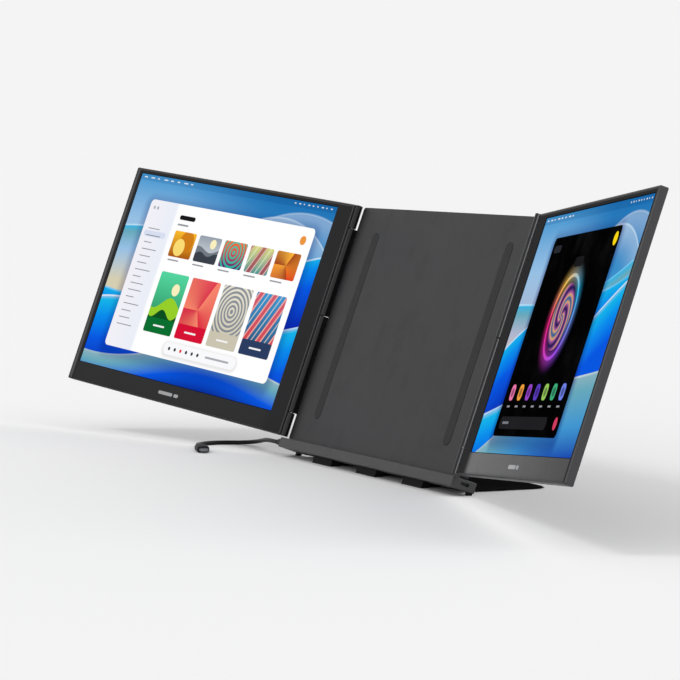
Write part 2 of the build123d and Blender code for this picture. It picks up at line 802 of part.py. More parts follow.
def kickstand():
    """The steel plate that reaches back along the table, with the barrel it turns on."""
    with BuildPart() as plate:
        with BuildSketch(Plane.YZ.offset(-stand_half)):
            Polygon(
                (0, -stand_barrel),
                (stand_length - stand_bevel_under, -stand_barrel),
                (stand_length, -stand_barrel + stand_tip_rise),
                (stand_length - stand_bevel_over, -stand_barrel + stand_thickness),
                (0, -stand_barrel + stand_thickness),
                align=None,
            )
            Circle(stand_barrel)
        extrude(amount=2 * stand_half)
    body = chamfer(plate.part.edges().filter_by(Axis.Y).group_by(Axis.Z)[-1], stand_edge_bevel)
    half_notch, notch = stand_notch[0] / 2, stand_notch[1]
    dip = (half_notch ** 2 + notch ** 2) / (2 * notch)
    body -= rod(dip, "Z", (0, stand_length + dip - notch), (-2 * stand_barrel, 2 * stand_barrel))
    for side in (-1, 1):
        span = sorted((side * (stand_half - stand_pin_grip), side * stand_half))
        body -= rod(stand_pin_radius + pin_play, "X", (0, 0), span)
    return stand_frame * body


def kickstand_foot():
    """The rubber strip under the far edge, flat on the table."""
    x = (-stand_half + foot_inset, stand_half - foot_inset)
    y = (stand_sole_reach - stand_foot_width, stand_sole_reach)
    strip = block(x, y, (-stand_barrel - stand_thickness, -stand_barrel))
    return (stand_frame * strip) & above_table


def kickstand_pins():
    """The friction pins, fast in the end blocks and running in the kickstand's barrel."""
    span = (stand_half - stand_pin_grip + pin_end_room, rail_half + stand_pin_seat)
    return [mirrored(side, rod(stand_pin_radius, "X", stand_axis, span)) for side in (-1, 1)]


# ---- cable
plug_reach = relief_length + plug_length
plug_start = to_table(-(port_face + plug_seat_gap + plug_reach), port_depth, port_height)
cable_z = cable_diameter / 2 + cable_lift
plug_z = plug_thickness / 2 + cable_lift
cable_route = [
    tuple(plug_start),
    (-229.0, plug_start.Y, plug_start.Z),
    (-242.5, 4.5, 9.2),
    (-256.0, 6.8, 7.6),
    (-270.0, 7.8, 5.3),
    (-284.0, 5.3, 3.2),
    (-296.5, -3.2, cable_z),
    (-304.5, -15.7, cable_z),
    (-305.0, -30.7, cable_z),
    (-297.0, -42.7, cable_z),
    (-284.5, -50.2, plug_z),
    (-270.5, -53.7, plug_z),
]


def corner_radii(points):
    """0.45 of the shorter run, divided by the tangent of half the turn, at each inner point."""
    runs = [Vector(*b) - Vector(*a) for a, b in zip(points, points[1:])]
    radii = []
    for before, after in zip(runs, runs[1:]):
        turn = radians(before.get_angle(after))
        radii.append(0.45 * min(before.length, after.length) / tan(turn / 2))
    return radii


def cable():
    """The cable from one plug's strain relief to the other's."""
    path = FilletPolyline(*cable_route, radius=corner_radii(cable_route))
    section = Plane(origin=path @ 0, z_dir=path % 0) * Circle(cable_diameter / 2)
    tube = sweep(section, path=path)
    full = path.length * pi * cable_diameter ** 2 / 4
    print("cable radii", [round(radius, 1) for radius in corner_radii(cable_route)])
    print("cable length", round(path.length, 1), "volume share", round(tube.volume / full, 4))
    return tube


def plug_body():
    """A plug's moulding with its tapered strain relief, from the cable's end along +X."""
    foot = (Align.CENTER, Align.CENTER, Align.MIN)
    relief = Rot(0, 90, 0) * Cone(relief_tip, relief_radius, relief_length, align=foot)
    section = Plane.YZ.offset(relief_length) * RectangleRounded(plug_width, plug_thickness, plug_round)
    return relief + extrude(section, plug_length, dir=(1, 0, 0))


def plug_metal():
    """A plug's steel shell, open at its mouth."""
    width, thickness, length = plug_shell
    wall = plug_shell_wall
    outer = Plane.YZ.offset(plug_reach) * SlotOverall(width, thickness)
    inner = Plane.YZ.offset(plug_reach + wall) * SlotOverall(width - 2 * wall, thickness - 2 * wall)
    return extrude(outer, length, dir=(1, 0, 0)) - extrude(inner, length, dir=(1, 0, 0))


def near_plug(piece):
    """A plug piece in the left port."""
    return lean_frame * Pos(-(port_face + plug_seat_gap + plug_reach), port_depth, port_height) * piece


def far_plug(piece):
    """A plug piece at the cable's free end, flat on the table."""
    (x0, y0, _), (x1, y1, z1) = cable_route[-2:]
    return Pos(x1, y1, z1) * Rot(0, 0, degrees(atan2(y1 - y0, x1 - x0))) * piece


# ---- every node
def screen_nodes(side):
    """The nodes of one side screen."""
    name = side_name[side]
    nodes = {
        "rear_shell": [rear_shell()],
        "bezel": [bezel()],
        "lcd_panel": [lcd_panel()],
        "backlight": [backlight()],
        "led_strip": [led_strip()],
        "driver_board": [driver_board()],
        "driver_chips": driver_chips(),
        "hinge_leaves": hinge_leaves(side),
        "hinge_pins": hinge_pins(side),
        "leaf_screws": leaf_screws(),
        "shell_screws": shell_screws(),
        "key_board": [key_board()],
    }
    nodes.update({label: [button(x)] for label, x in zip(button_names, button_x)})
    return {
        f"{name}_{label}": [hung(side, piece) for piece in pieces]
        for label, pieces in nodes.items()
    }


def centre_nodes():
    """The nodes of the centre unit."""
    nodes = {
        "front_cover": [front_cover()],
        "rear_cover": [rear_cover()],
        "stiffener_frame": [stiffener_frame()],
        "bumpers": bumper_strips(bumper_proud, 0),
        "cover_screws": cover_screws(),
        "spine_screws": spine_screws(),
        "base_rail": [base_rail()],
        "rail_cover": [rail_cover()],
        "rail_screws": rail_screws(),
        "hub_board": [hub_board()],
        "hub_chips": hub_chips(),
        "kickstand_pins": kickstand_pins(),
    }
    for side, name in side_name.items():
        nodes[f"{name}_end_block"] = [mirrored(side, end_block())]
        nodes[f"{name}_port"] = [mirrored(side, port())]
        nodes[f"{name}_ribbon"] = [mirrored(side, ribbon())]
        for level in spine_spans:
            nodes[f"{name}_{level}_spine"] = [spine(side, level)]
    placed = {label: [leaned(piece) for piece in pieces] for label, pieces in nodes.items()}
    placed["rubber_feet"] = feet()
    return placed


def loose_nodes():
    """The kickstand and the cable."""
    return {
        "kickstand": [kickstand()],
        "kickstand_foot": [kickstand_foot()],
        "cable": [cable()],
        "cable_plug": [near_plug(plug_body())],
        "cable_plug_shell": [near_plug(plug_metal())],
        "free_plug": [far_plug(plug_body())],
        "free_plug_shell": [far_plug(plug_metal())],
    }


def all_nodes():
    """Every node by name, each a list of solids in place."""
    return {**centre_nodes(), **screen_nodes(-1), **screen_nodes(1), **loose_nodes()}


os.makedirs("parts", exist_ok=True)
for label, pieces in all_nodes().items():
    export_step(bench(pieces), f"parts/{label}.step")
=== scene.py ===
# %% [markdown]
# # A laptop screen extender, dressed
# The real thing stands behind a laptop: a thin back plate on a base rail, with a wide display hinged
# at each side, a low kickstand behind it and a short cable in its left port. The exact solids come
# packed, so this script gives each one its finish, and models in mesh code only what solids draw
# badly: the cable, its soft mouldings, the ribbed silicone strips and the contacts in the ports.
# Everything is in metres, in the packed model's own frame.

# %% Load the packed part
import json
import math

import bpy
from mathutils import Matrix, Vector


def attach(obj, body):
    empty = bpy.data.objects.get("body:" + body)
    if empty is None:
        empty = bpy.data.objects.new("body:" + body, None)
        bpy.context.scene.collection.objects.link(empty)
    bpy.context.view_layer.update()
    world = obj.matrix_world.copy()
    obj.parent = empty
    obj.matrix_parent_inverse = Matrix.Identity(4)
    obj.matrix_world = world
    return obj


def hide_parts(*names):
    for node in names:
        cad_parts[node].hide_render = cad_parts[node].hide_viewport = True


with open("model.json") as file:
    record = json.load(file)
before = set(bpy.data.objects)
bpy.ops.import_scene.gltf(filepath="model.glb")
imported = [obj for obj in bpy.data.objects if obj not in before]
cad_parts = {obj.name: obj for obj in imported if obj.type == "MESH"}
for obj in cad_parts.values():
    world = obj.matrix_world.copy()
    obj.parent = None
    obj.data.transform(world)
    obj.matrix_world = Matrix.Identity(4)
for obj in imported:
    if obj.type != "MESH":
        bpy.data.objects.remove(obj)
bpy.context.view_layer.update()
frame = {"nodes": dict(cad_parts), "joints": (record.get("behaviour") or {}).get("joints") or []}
nodes = frame["nodes"]
joints = {joint["name"]: joint for joint in frame["joints"]}
mm = 0.001
sides = {"left": -1, "right": 1}

# %% [markdown]
# ## The camera
# A long lens from the user's right, just above the table, sees the right display almost edge on and
# the left one more openly. A rotation matrix could place the camera, but nobody can read its nine
# numbers. Azimuth, elevation and roll say the same thing in three.

# %% Camera
camera_place = Vector((2.53029, -1.14992, 0.30183))
camera_azimuth = math.radians(66.08)
camera_elevation = math.radians(3.78)
camera_roll = math.radians(-0.11)
sensor_width = 36.0
camera_lens = 169.07
camera_reach = 50.0


def make_camera():
    """The scene's camera, looking back along its azimuth and elevation."""
    behind = Vector((
        math.sin(camera_azimuth) * math.cos(camera_elevation),
        -math.cos(camera_azimuth) * math.cos(camera_elevation),
        math.sin(camera_elevation),
    ))
    turn = (-behind).to_track_quat("-Z", "Y").to_matrix() @ Matrix.Rotation(camera_roll, 3, "Z")
    camera = bpy.data.objects.new("camera", bpy.data.cameras.new("camera"))
    camera.data.sensor_width = sensor_width
    camera.data.lens = camera_lens
    camera.data.clip_end = camera_reach
    camera.matrix_world = Matrix.Translation(camera_place) @ turn.to_4x4()
    bpy.context.scene.collection.objects.link(camera)
    bpy.context.scene.camera = camera


make_camera()
print("lens", camera_lens, "mm on a sensor of", sensor_width, "mm")

# %% [markdown]
# ## Directions of the leaning parts
# The centre unit leans back and each display is folded a little forward of it, so boxes along X, Y
# and Z say little about them. Two directions that the joints already hold are enough: a hinge's axis
# points up its display, and a button's stroke points out of the display's front. The third is their
# cross product.

# %% Directions
across = Vector((1, 0, 0))
uphill = Vector(joints["left_screen_hinge"]["axis"]).normalized()
rearward = uphill.cross(across)
lean = math.atan2(uphill.y, uphill.z)


def display_axes(side):
    """The viewer's right, the depth behind the glass and the height, for one display."""
    front = Vector(joints[f"{side}_power_button_press"]["axis"]).normalized()
    return uphill.cross(front).normalized(), -front, uphill


def reach(node, direction, wanted=lambda point: True):
    """The lowest and highest place of a node's points along a direction."""
    places = [vertex.co.dot(direction) for vertex in nodes[node].data.vertices if wanted(vertex.co)]
    return min(places), max(places)


print("lean", round(math.degrees(lean), 2), "degrees")

# %% [markdown]
# ## Meshes from cross-sections
# Mouldings, strips and reliefs all change smoothly along one direction. A bevelled curve would keep
# one cross-section from end to end, so they are lofted instead: a list of rings with as many points
# each, joined by quads. A plug's ring is a rounded rectangle, and a round one is the same thing with
# corners as large as its half width, so a cone can grow into a plug body.

# %% Loft
def piece_from(name, points, faces, smooth=True):
    """A mesh object of these points and faces."""
    mesh = bpy.data.meshes.new(name)
    mesh.from_pydata([tuple(point) for point in points], [], faces)
    mesh.validate()
    mesh.polygons.foreach_set("use_smooth", [smooth] * len(mesh.polygons))
    piece = bpy.data.objects.new(name, mesh)
    bpy.context.scene.collection.objects.link(piece)
    return piece


def rounded_ring(x, half_width, half_height, corner, steps=7):
    """Points of a rounded rectangle across X, as many whatever its shape."""
    ring = []
    for quarter, (wide, high) in enumerate(((1, 1), (-1, 1), (-1, -1), (1, -1))):
        for step in range(steps + 1):
            angle = (quarter + step / steps) * math.pi / 2
            y = wide * (half_width - corner) + corner * math.cos(angle)
            z = high * (half_height - corner) + corner * math.sin(angle)
            ring.append(Vector((x, y, z)))
    return ring


def loft(name, rings, place):
    """A closed skin over rings of points, with both ends capped."""
    count = len(rings[0])
    points = [place @ point for ring in rings for point in ring]
    faces = []
    for row in range(len(rings) - 1):
        for column in range(count):
            after = (column + 1) % count
            low, high = row * count, (row + 1) * count
            faces.append((low + column, high + column, high + after, low + after))
    faces.append(tuple(range(count)))
    last = (len(rings) - 1) * count
    faces.append(tuple(last + column for column in reversed(range(count))))
    return piece_from(name, points, faces)


def harden(piece, angle=35):
    """Keeps edges sharper than this angle crisp on a smooth mesh."""
    piece.data.set_sharp_from_angle(angle=math.radians(angle))
    return piece


print("points in a ring", len(rounded_ring(0, 2 * mm, 1 * mm, 0.5 * mm)))

# %% [markdown]
# ## The cable
# A round flexible lead, 4 mm thick, comes out of the plug in the left port, drops to the table and
# turns back towards the laptop. It could be a mesh tube, but a NURBS curve with the route's own points
# bends the way a lead does. The section comes from the points' own radius, with a bevel of 1, because
# a curve's box counts that radius and would otherwise reach a metre too far.

# %% Cable
cable_width = 4.0 * mm
plug_drop = Vector((-0.2152, 0.00331, 0.00969))
cable_route = [
    plug_drop,
    Vector((-0.2290, plug_drop.y, plug_drop.z)),
    Vector((-0.2425, 0.0045, 0.0092)),
    Vector((-0.2560, 0.0068, 0.0076)),
    Vector((-0.2700, 0.0078, 0.0053)),
    Vector((-0.2840, 0.0053, 0.0032)),
    Vector((-0.2965, -0.0032, 0.00205)),
    Vector((-0.3045, -0.0157, 0.00205)),
    Vector((-0.3050, -0.0307, 0.00205)),
    Vector((-0.2970, -0.0427, 0.00205)),
    Vector((-0.2845, -0.0502, 0.00315)),
    Vector((-0.2705, -0.0537, 0.00315)),
]


def lay_cable():
    """The lead as one smooth NURBS curve with a round section."""
    curve = bpy.data.curves.new("cable_lead", "CURVE")
    curve.dimensions = "3D"
    curve.resolution_u = 16
    curve.bevel_depth = 1.0
    curve.bevel_resolution = 8
    curve.use_fill_caps = True
    spline = curve.splines.new("NURBS")
    spline.points.add(len(cable_route) - 1)
    for point, place in zip(spline.points, cable_route):
        point.co = (*place, 1)
        point.radius = cable_width / 2
    spline.order_u = 3
    spline.use_endpoint_u = True
    lead = bpy.data.objects.new("cable_lead", curve)
    bpy.context.scene.collection.objects.link(lead)
    return lead


cable = lay_cable()
print("cable points", len(cable_route))

# %% [markdown]
# ## Plug mouldings
# Each plug is one overmoulded piece: a tapered relief with rings that let it bend, a soft shoulder,
# and a flat body with a grooved finger grip. Boolean grooves would leave hard edges, so the rings and
# the grip are simply more sections of the loft, a few tenths of a millimetre smaller.

# %% Plug mouldings
full_turn = 2 * math.pi
relief_length, relief_start, tip_share = 12.0 * mm, 0.6 * mm, 0.86
relief_tip, relief_root, shoulder_half = 2.3 * mm, 2.9 * mm, 1.2 * mm
relief_rings, ring_depth = 5, 0.35 * mm
moulding_length, mouth_edge = 32.0 * mm, 0.6 * mm
body_width, body_height, body_corner = 5.8 * mm, 3.1 * mm, 2.4 * mm
grip_start, grip_pitch, grip_count, grip_depth = 18.0 * mm, 1.5 * mm, 6, 0.22 * mm
steps_per_groove = 8


def quarter_arc(steps):
    """The angles of a quarter circle in this many steps."""
    return [step / steps * math.pi / 2 for step in range(steps + 1)]


def grooves(count, depth):
    """Stations from 0 to 1 over a row of round grooves, each with how deep the row is there."""
    steps = steps_per_groove * count
    shares = [step / steps for step in range(steps + 1)]
    return [(share, depth * (0.5 - 0.5 * math.cos(full_turn * count * share)) ** 2) for share in shares]


def between(start, stop, share):
    """The value at this share of the way from one to another."""
    return start + (stop - start) * share


def relief_sections():
    """The ribbed cone, from the lead's end to the shoulder."""
    tip = relief_tip * tip_share
    sections = [rounded_ring(0, tip, tip, tip)]
    for share, groove in grooves(relief_rings, ring_depth):
        x = between(relief_start, relief_length - shoulder_half, share)
        radius = between(relief_tip, relief_root, share) - groove
        sections.append(rounded_ring(x, radius, radius, radius))
    return sections


def shoulder_sections():
    """The soft step from the cone up to the plug's body."""
    sections = []
    for angle in quarter_arc(8)[1:]:
        share = math.sin(angle)
        x = relief_length - shoulder_half + 2 * shoulder_half * (1 - math.cos(angle))
        wide = between(relief_root, body_width, share)
        high = between(relief_root, body_height, share)
        corner = min(between(relief_root, body_corner, share), high)
        sections.append(rounded_ring(x, wide, high, corner))
    return sections


def body_sections():
    """The plug's body with its grip grooves and the rounded edge at its mouth."""
    sections = []
    for share, groove in grooves(grip_count, grip_depth):
        x = grip_start + grip_count * grip_pitch * share
        wide, high = body_width - groove / 2, body_height - groove
        sections.append(rounded_ring(x, wide, high, body_corner - groove / 2))
    for angle in quarter_arc(6):
        inset = mouth_edge * (1 - math.cos(angle))
        x = moulding_length - mouth_edge + mouth_edge * math.sin(angle)
        sections.append(rounded_ring(x, body_width - inset, body_height - inset, body_corner - inset))
    return sections


def plug_moulding(name, place):
    """One overmoulded plug with its relief."""
    return loft(name, relief_sections() + shoulder_sections() + body_sections(), place)


print("plug sections", len(relief_sections()), len(shoulder_sections()), len(body_sections()))

# %% [markdown]
# ## The cord with its two plugs
# One plug sits in the left port and leans back with it. The other lies on the table, in line with the
# lead's last run. They could hang on the lead as its children, but nothing here bends once it is
# laid, so all three ride on the centre unit.

# %% Cord
port_place = Matrix.Translation(cable_route[0]) @ Matrix.Rotation(-lean, 4, "X")
last_run = cable_route[-1] - cable_route[-2]
last_turn = Matrix.Rotation(math.atan2(last_run.y, last_run.x), 4, "Z")
free_place = Matrix.Translation(cable_route[-1]) @ last_turn
port_plug = plug_moulding("cable_plug_moulding", port_place)
free_plug = plug_moulding("free_plug_moulding", free_place)
for piece in (cable, port_plug, free_plug):
    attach(piece, "centre_unit")
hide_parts("cable")
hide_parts("cable_plug")
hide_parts("free_plug")
print("plug moulding faces", len(port_plug.data.polygons))

# %% [markdown]
# ## Silicone strips
# Two soft strips stand 0.3 mm proud of the back plate, where the laptop's lid leans on them. Real ones
# are moulded with fine ribs along their length, rounded off at both ends. A bump map would vanish edge
# on, so the ribs are in the cross-section itself, and the section narrows along a quarter circle at
# the ends.

# %% Silicone strips
rib_count, rib_depth, steps_per_rib = 6, 0.12 * mm, 12
strip_edge, edge_share, strip_corner = 0.25 * mm, 0.06, 6.0 * mm


def strip_section(half_width, bed):
    """Across a strip: ribs on its face, rounded edges, and a flat back in the groove."""
    profile = []
    columns = steps_per_rib * rib_count
    for column in range(columns + 1):
        share = 2 * column / columns - 1
        rib = rib_depth * (0.5 + 0.5 * math.cos(math.pi * (share + 1) * rib_count))
        edge = strip_edge * max(0.0, 1 - (1 - abs(share)) / edge_share) ** 2
        profile.append((share * half_width, -rib - edge))
    return [(-half_width, bed), *profile, (half_width, bed)]


def silicone_strip(name, sign):
    """One strip, in its groove on the back plate's front, on the side with this sign of X."""
    def on_side(point):
        return point.x * sign > 0

    low_x, high_x = reach("bumpers", across, on_side)
    low_up, high_up = reach("bumpers", uphill, on_side)
    front, back = reach("bumpers", rearward, on_side)
    middle, half_width = (low_x + high_x) / 2, (high_x - low_x) / 2
    ends = [
        (strip_corner * (1 - math.cos(angle)), strip_corner * (1 - math.sin(angle)))
        for angle in quarter_arc(10)
    ]
    stations = [(low_up + along, inset) for along, inset in ends]
    stations += [(high_up - along, inset) for along, inset in reversed(ends)]
    rings = []
    for height, inset in stations:
        section = strip_section(half_width - inset, front - back)
        rings.append([
            across * (middle + x) + rearward * (front - out) + uphill * height for x, out in section
        ])
    return harden(loft(name, rings, Matrix.Identity(4)))


strips = [silicone_strip(f"{side}_bumper_strip", sign) for side, sign in sides.items()]
for strip in strips:
    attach(strip, "centre_unit")
    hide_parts("bumpers")
print("strips", [len(strip.data.polygons) for strip in strips])

# %% [markdown]
# ## Contacts in the ports
# Looked at closely, a port's tongue carries two rows of twelve gilt contacts. They are far too fine to
# be solids of their own, and a texture would look flat up close. So each port has one mesh that holds
# all of them, each a thin bar with chamfered edges, seated on the tongue's two faces.

# %% Port contacts
contact_count, contact_pitch = 12, 0.5 * mm
contact_width, contact_length, contact_rise = 0.26 * mm, 4.2 * mm, 0.03 * mm
contact_setback, tongue_half, mouth_inset = 0.3 * mm, 0.35 * mm, 1.4 * mm
bar_faces = ((0, 1, 5, 4), (1, 2, 6, 5), (2, 3, 7, 6), (3, 0, 4, 7), (4, 5, 6, 7), (3, 2, 1, 0))


def contact_bar(start, stop, middle, face, outward):
    """Eight points of one bar on a face of the tongue, its top a little shorter than its foot."""
    bar = []
    for rise, trim in ((0.0, 0.0), (contact_rise, contact_rise)):
        for x, depth in (
            (start + trim, -contact_width / 2 + trim), (stop - trim, -contact_width / 2 + trim),
            (stop - trim, contact_width / 2 - trim), (start + trim, contact_width / 2 - trim),
        ):
            bar.append(across * x + rearward * (middle + depth) + uphill * (face + outward * rise))
    return bar


def port_contacts(side):
    """Both rows of contacts on the tongue of one port."""
    sign = sides[side]
    low_x, high_x = reach(f"{side}_port", across)
    tip = high_x - mouth_inset if sign > 0 else low_x + mouth_inset
    depth = sum(reach(f"{side}_port", rearward)) / 2
    height = sum(reach(f"{side}_port", uphill)) / 2
    ends = (tip - sign * (contact_setback + length) for length in (0.0, contact_length))
    start, stop = sorted(ends)
    points, faces = [], []
    for outward in (-1, 1):
        for index in range(contact_count):
            middle = depth + (index - (contact_count - 1) / 2) * contact_pitch
            first = len(points)
            points += contact_bar(start, stop, middle, height + outward * tongue_half, outward)
            for face in bar_faces:
                corners = face if outward > 0 else tuple(reversed(face))
                faces.append(tuple(first + corner for corner in corners))
    return piece_from(f"{side}_port_contacts", points, faces, smooth=False)


contacts = [port_contacts(side) for side in sides]
for piece in contacts:
    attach(piece, "centre_unit")
print("contacts", 2 * contact_count, "in each port")

# %% [markdown]
# ## Shader arithmetic
# Node graphs are hard to read as lists of links. This class wraps one output socket and gives it the
# usual operators, so a mask is written as it would be on paper, and each operator adds its Math node.
# Colours and vectors have their own methods, because a Math node would turn them grey.

# %% Wires
class Wire:
    """One output of a material's node tree, used like a number, a vector or a colour."""

    def __init__(self, tree, socket=None):
        self.tree = tree
        self.socket = socket

    def node(self, kind, settings, values, output=0):
        """Adds a node, makes its settings, feeds its sockets, and gives the wire of its output."""
        made = self.tree.nodes.new(kind)
        for name, value in settings.items():
            if name == "stops":
                fill_ramp(made.color_ramp, value)
            else:
                setattr(made, name, value)
        for key, value in values.items():
            if isinstance(value, Wire):
                self.tree.links.new(value.socket, made.inputs[key])
            else:
                made.inputs[key].default_value = value
        return Wire(self.tree, made.outputs[output])

    def math(self, operation, *values):
        """A Math node on numbers."""
        return self.node("ShaderNodeMath", {"operation": operation}, dict(enumerate(values)))

    def vector(self, operation, *values, output=0):
        """A Vector Math node."""
        settings = {"operation": operation}
        return self.node("ShaderNodeVectorMath", settings, dict(enumerate(values)), output)

    def __add__(self, other):
        return self.math("ADD", self, other)

    def __sub__(self, other):
        return self.math("SUBTRACT", self, other)

    def __rsub__(self, other):
        return self.math("SUBTRACT", other, self)

    def __mul__(self, other):
        return self.math("MULTIPLY", self, other)

    def __truediv__(self, other):
        return self.math("DIVIDE", self, other)

    def __rtruediv__(self, other):
        return self.math("DIVIDE", other, self)

    def __mod__(self, other):
        return self.math("FLOORED_MODULO", self, other)

    def __rmod__(self, other):
        return self.math("FLOORED_MODULO", other, self)

    __radd__ = __add__
    __rmul__ = __mul__

    def __abs__(self):
        return self.math("ABSOLUTE", self)

    def floor(self):
        return self.math("FLOOR", self)

    def sine(self):
        return self.math("SINE", self)

    def larger(self, other):
        return self.math("MAXIMUM", self, other)

    def wave(self, length):
        """A sine from -1 to 1 that comes round again after this length."""
        return (self * (full_turn / length)).sine()

    def step(self, start, stop):
        """0 before start, 1 after stop, and a soft step between."""
        settings = {"interpolation_type": "SMOOTHSTEP"}
        return self.node("ShaderNodeMapRange", settings, {0: self, 1: start, 2: stop, 3: 0.0, 4: 1.0})

    def ramp(self, *stops):
        """A colour for each value from 0 to 1, from stops of place and colour."""
        return self.node("ShaderNodeValToRGB", {"stops": stops}, {0: self})

    def mix(self, under, over):
        """Under where this mask is 0, over where it is 1."""
        return self.node("ShaderNodeMix", {"data_type": "RGBA"}, {0: self, 6: under, 7: over}, 2)

    def xyz(self):
        """The three numbers of a vector."""
        parts = self.node("ShaderNodeSeparateXYZ", {}, {0: self}).socket.node.outputs
        return [Wire(self.tree, part) for part in parts]


def fill_ramp(ramp, stops):
    """Gives a colour ramp exactly these stops."""
    while len(ramp.elements) < len(stops):
        ramp.elements.new(1.0)
    for element, (place, colour) in zip(ramp.elements, stops):
        element.position = place
        element.color = colour


print("methods of a wire", len([name for name in vars(Wire) if callable(getattr(Wire, name))]))

# %% [markdown]
# ## Paint
# A shader counts light, and a paint chart doesn't: half of its number is only about a fifth of the
# light. Colours are easier to think of as a chart gives them, so they are written like that here, from
# 0 to 255, and turned into light in one place.

# %% Paint
def paint(red, green, blue):
    """A colour as a paint chart gives it, 0 to 255, turned into light."""
    def light(level):
        share = level / 255
        return share / 12.92 if share <= 0.04045 else ((share + 0.055) / 1.055) ** 2.4

    return (light(red), light(green), light(blue), 1.0)


def scaled(colour, factor):
    """The same hue with this many times its light."""
    return tuple(min(1.0, part * factor) for part in colour[:3]) + (1.0,)


print("black plastic as light", [round(part, 4) for part in paint(50, 50, 51)[:3]])

# %% [markdown]
# ## One way to start a material
# Every finish starts from the Principled shader. What is the same all over is set on the shader's own
# sockets, and only what varies over the surface is linked, so that the finish survives an export.

# %% Start a material
def start_material(name, roughness, metallic=0.0, specular=0.5, coat=0.0, coat_roughness=0.2):
    """A new material: itself, a wire into its tree, and its shader."""
    material = bpy.data.materials.new(name)
    material.use_nodes = True
    shader = material.node_tree.nodes["Principled BSDF"]
    shader.inputs["Roughness"].default_value = roughness
    shader.inputs["Metallic"].default_value = metallic
    shader.inputs["Specular IOR Level"].default_value = specular
    shader.inputs["Coat Weight"].default_value = coat
    shader.inputs["Coat Roughness"].default_value = coat_roughness
    return material, Wire(material.node_tree), shader


def feed(shader, **wires):
    """Links wires to the shader's sockets; an underscore stands for a space in a socket's name."""
    for name, wire in wires.items():
        wire.tree.links.new(wire.socket, shader.inputs[name.replace("_", " ")])


print("materials start from", bpy.app.version_string)

# %% [markdown]
# ## Patterns that many finishes share
# Dust, mottling and drawing lines are noise at different scales, and the skin of a mould is a field of
# small cells. Images could hold them, but a pattern that is worked out at each point needs no
# unwrapping and never repeats. All of them are fixed to the part at rest, so they travel with it.

# %% Patterns
grain_depth, drawn_depth = 0.02 * mm, 0.004 * mm


def rest_place(tree):
    """Where a point is on the part at rest, in metres."""
    return tree.node("ShaderNodeTexCoord", {}, {}, "Object")


def noise(tree, place, scale, detail=3.0, roughness=0.5):
    """Soft noise from 0 to 1 with scale features in a metre."""
    return tree.node(
        "ShaderNodeTexNoise", {},
        {"Vector": place, "Scale": scale, "Detail": detail, "Roughness": roughness}, "Fac",
    )


def grain(tree, place, scale):
    """The tiny closed cells that spark erosion leaves in a mould."""
    return tree.node("ShaderNodeTexVoronoi", {}, {"Vector": place, "Scale": scale}, "Distance")


def bump(tree, height, depth, strength=1.0, under=None):
    """A normal from a height of 0 to 1, depth metres deep, laid over another one."""
    values = {"Strength": strength, "Distance": depth, "Height": height}
    return tree.node("ShaderNodeBump", {}, {**values, "Normal": under} if under else values)


print("depths of the finest relief", grain_depth, drawn_depth)

# %% [markdown]
# ## Places on a leaning face
# Several finishes need to know where they are on a display or on the back plate: the picture, the
# dashes on the chin, the light edge of the front frame, the fine lines on the backs. An unwrapping
# could say it, but it has to be made again with every change of shape. Here a mapping node turns the
# point about the face's own axes and scales it, so all of them are drawn in millimetres: on a display
# from the lower left corner of the lit area, on the back plate from the middle of its foot.

# %% Face places
lit_width, lit_height = 323.1, 201.9
# How far the panel itself reaches past the lit area, at its left and at its foot.
panel_overlap, panel_foot = 2.5, 8.0


def face_place(tree, corner, axes):
    """A point in millimetres from a corner: right, inward and up."""
    turn = Matrix(axes).transposed().to_euler()
    return tree.node(
        "ShaderNodeMapping", {"vector_type": "TEXTURE"},
        {"Vector": rest_place(tree), "Location": corner, "Rotation": turn, "Scale": (mm, mm, mm)},
    )


def display_corner(side):
    """The lit area's lower left corner, in the plane of the shell's front edge."""
    right, inward, up = display_axes(side)
    panel = f"{side}_lcd_panel"
    corner = right * (reach(panel, right)[0] + panel_overlap * mm)
    corner += inward * reach(f"{side}_rear_shell", inward)[0]
    return corner + up * (reach(panel, up)[0] + panel_foot * mm)


def display_place(tree, side):
    """A point in millimetres from the lit area's lower left corner."""
    return face_place(tree, display_corner(side), display_axes(side))


def display_span(side, node):
    """Where a node lies on its display, in millimetres: from and to across, from and to upward."""
    right, _, up = display_axes(side)
    spans = []
    for direction in (right, up):
        corner = display_corner(side).dot(direction)
        spans.append([(edge - corner) / mm for edge in reach(f"{side}_{node}", direction)])
    return spans


def plate_place(tree):
    """A point in millimetres from the middle of the back plate's foot."""
    foot = rearward * reach("rear_cover", rearward)[0] + uphill * reach("rear_cover", uphill)[0]
    return face_place(tree, foot, (across, rearward, uphill))


print("lit area", lit_width, "by", lit_height, "mm")

# %% [markdown]
# ## Masks
# An inlay, a picture or a field of lines has an outline, but no thickness worth a mesh. Each is drawn
# by a mask instead: how far a point is outside a box or a disc, turned into a soft step that is 1
# inside and 0 outside. Masks multiply, so a shape can be cut by another one.

# %% Masks
def flat(place):
    """The same place without its depth, for shapes that are drawn on a face."""
    return place.vector("MULTIPLY", place, (1.0, 0.0, 1.0))


def box_mask(place, middle, size, corner=0.0, blur=0.25):
    """1 inside a rounded box, 0 outside it."""
    half = (size[0] / 2 - corner, 0.0, size[1] / 2 - corner)
    offset = place.vector("ABSOLUTE", place.vector("SUBTRACT", place, (middle[0], 0.0, middle[1])))
    outside = place.vector("MAXIMUM", place.vector("SUBTRACT", offset, half), (0.0, 0.0, 0.0))
    distance = place.vector("LENGTH", outside, output="Value")
    return 1 - distance.step(corner, corner + blur)


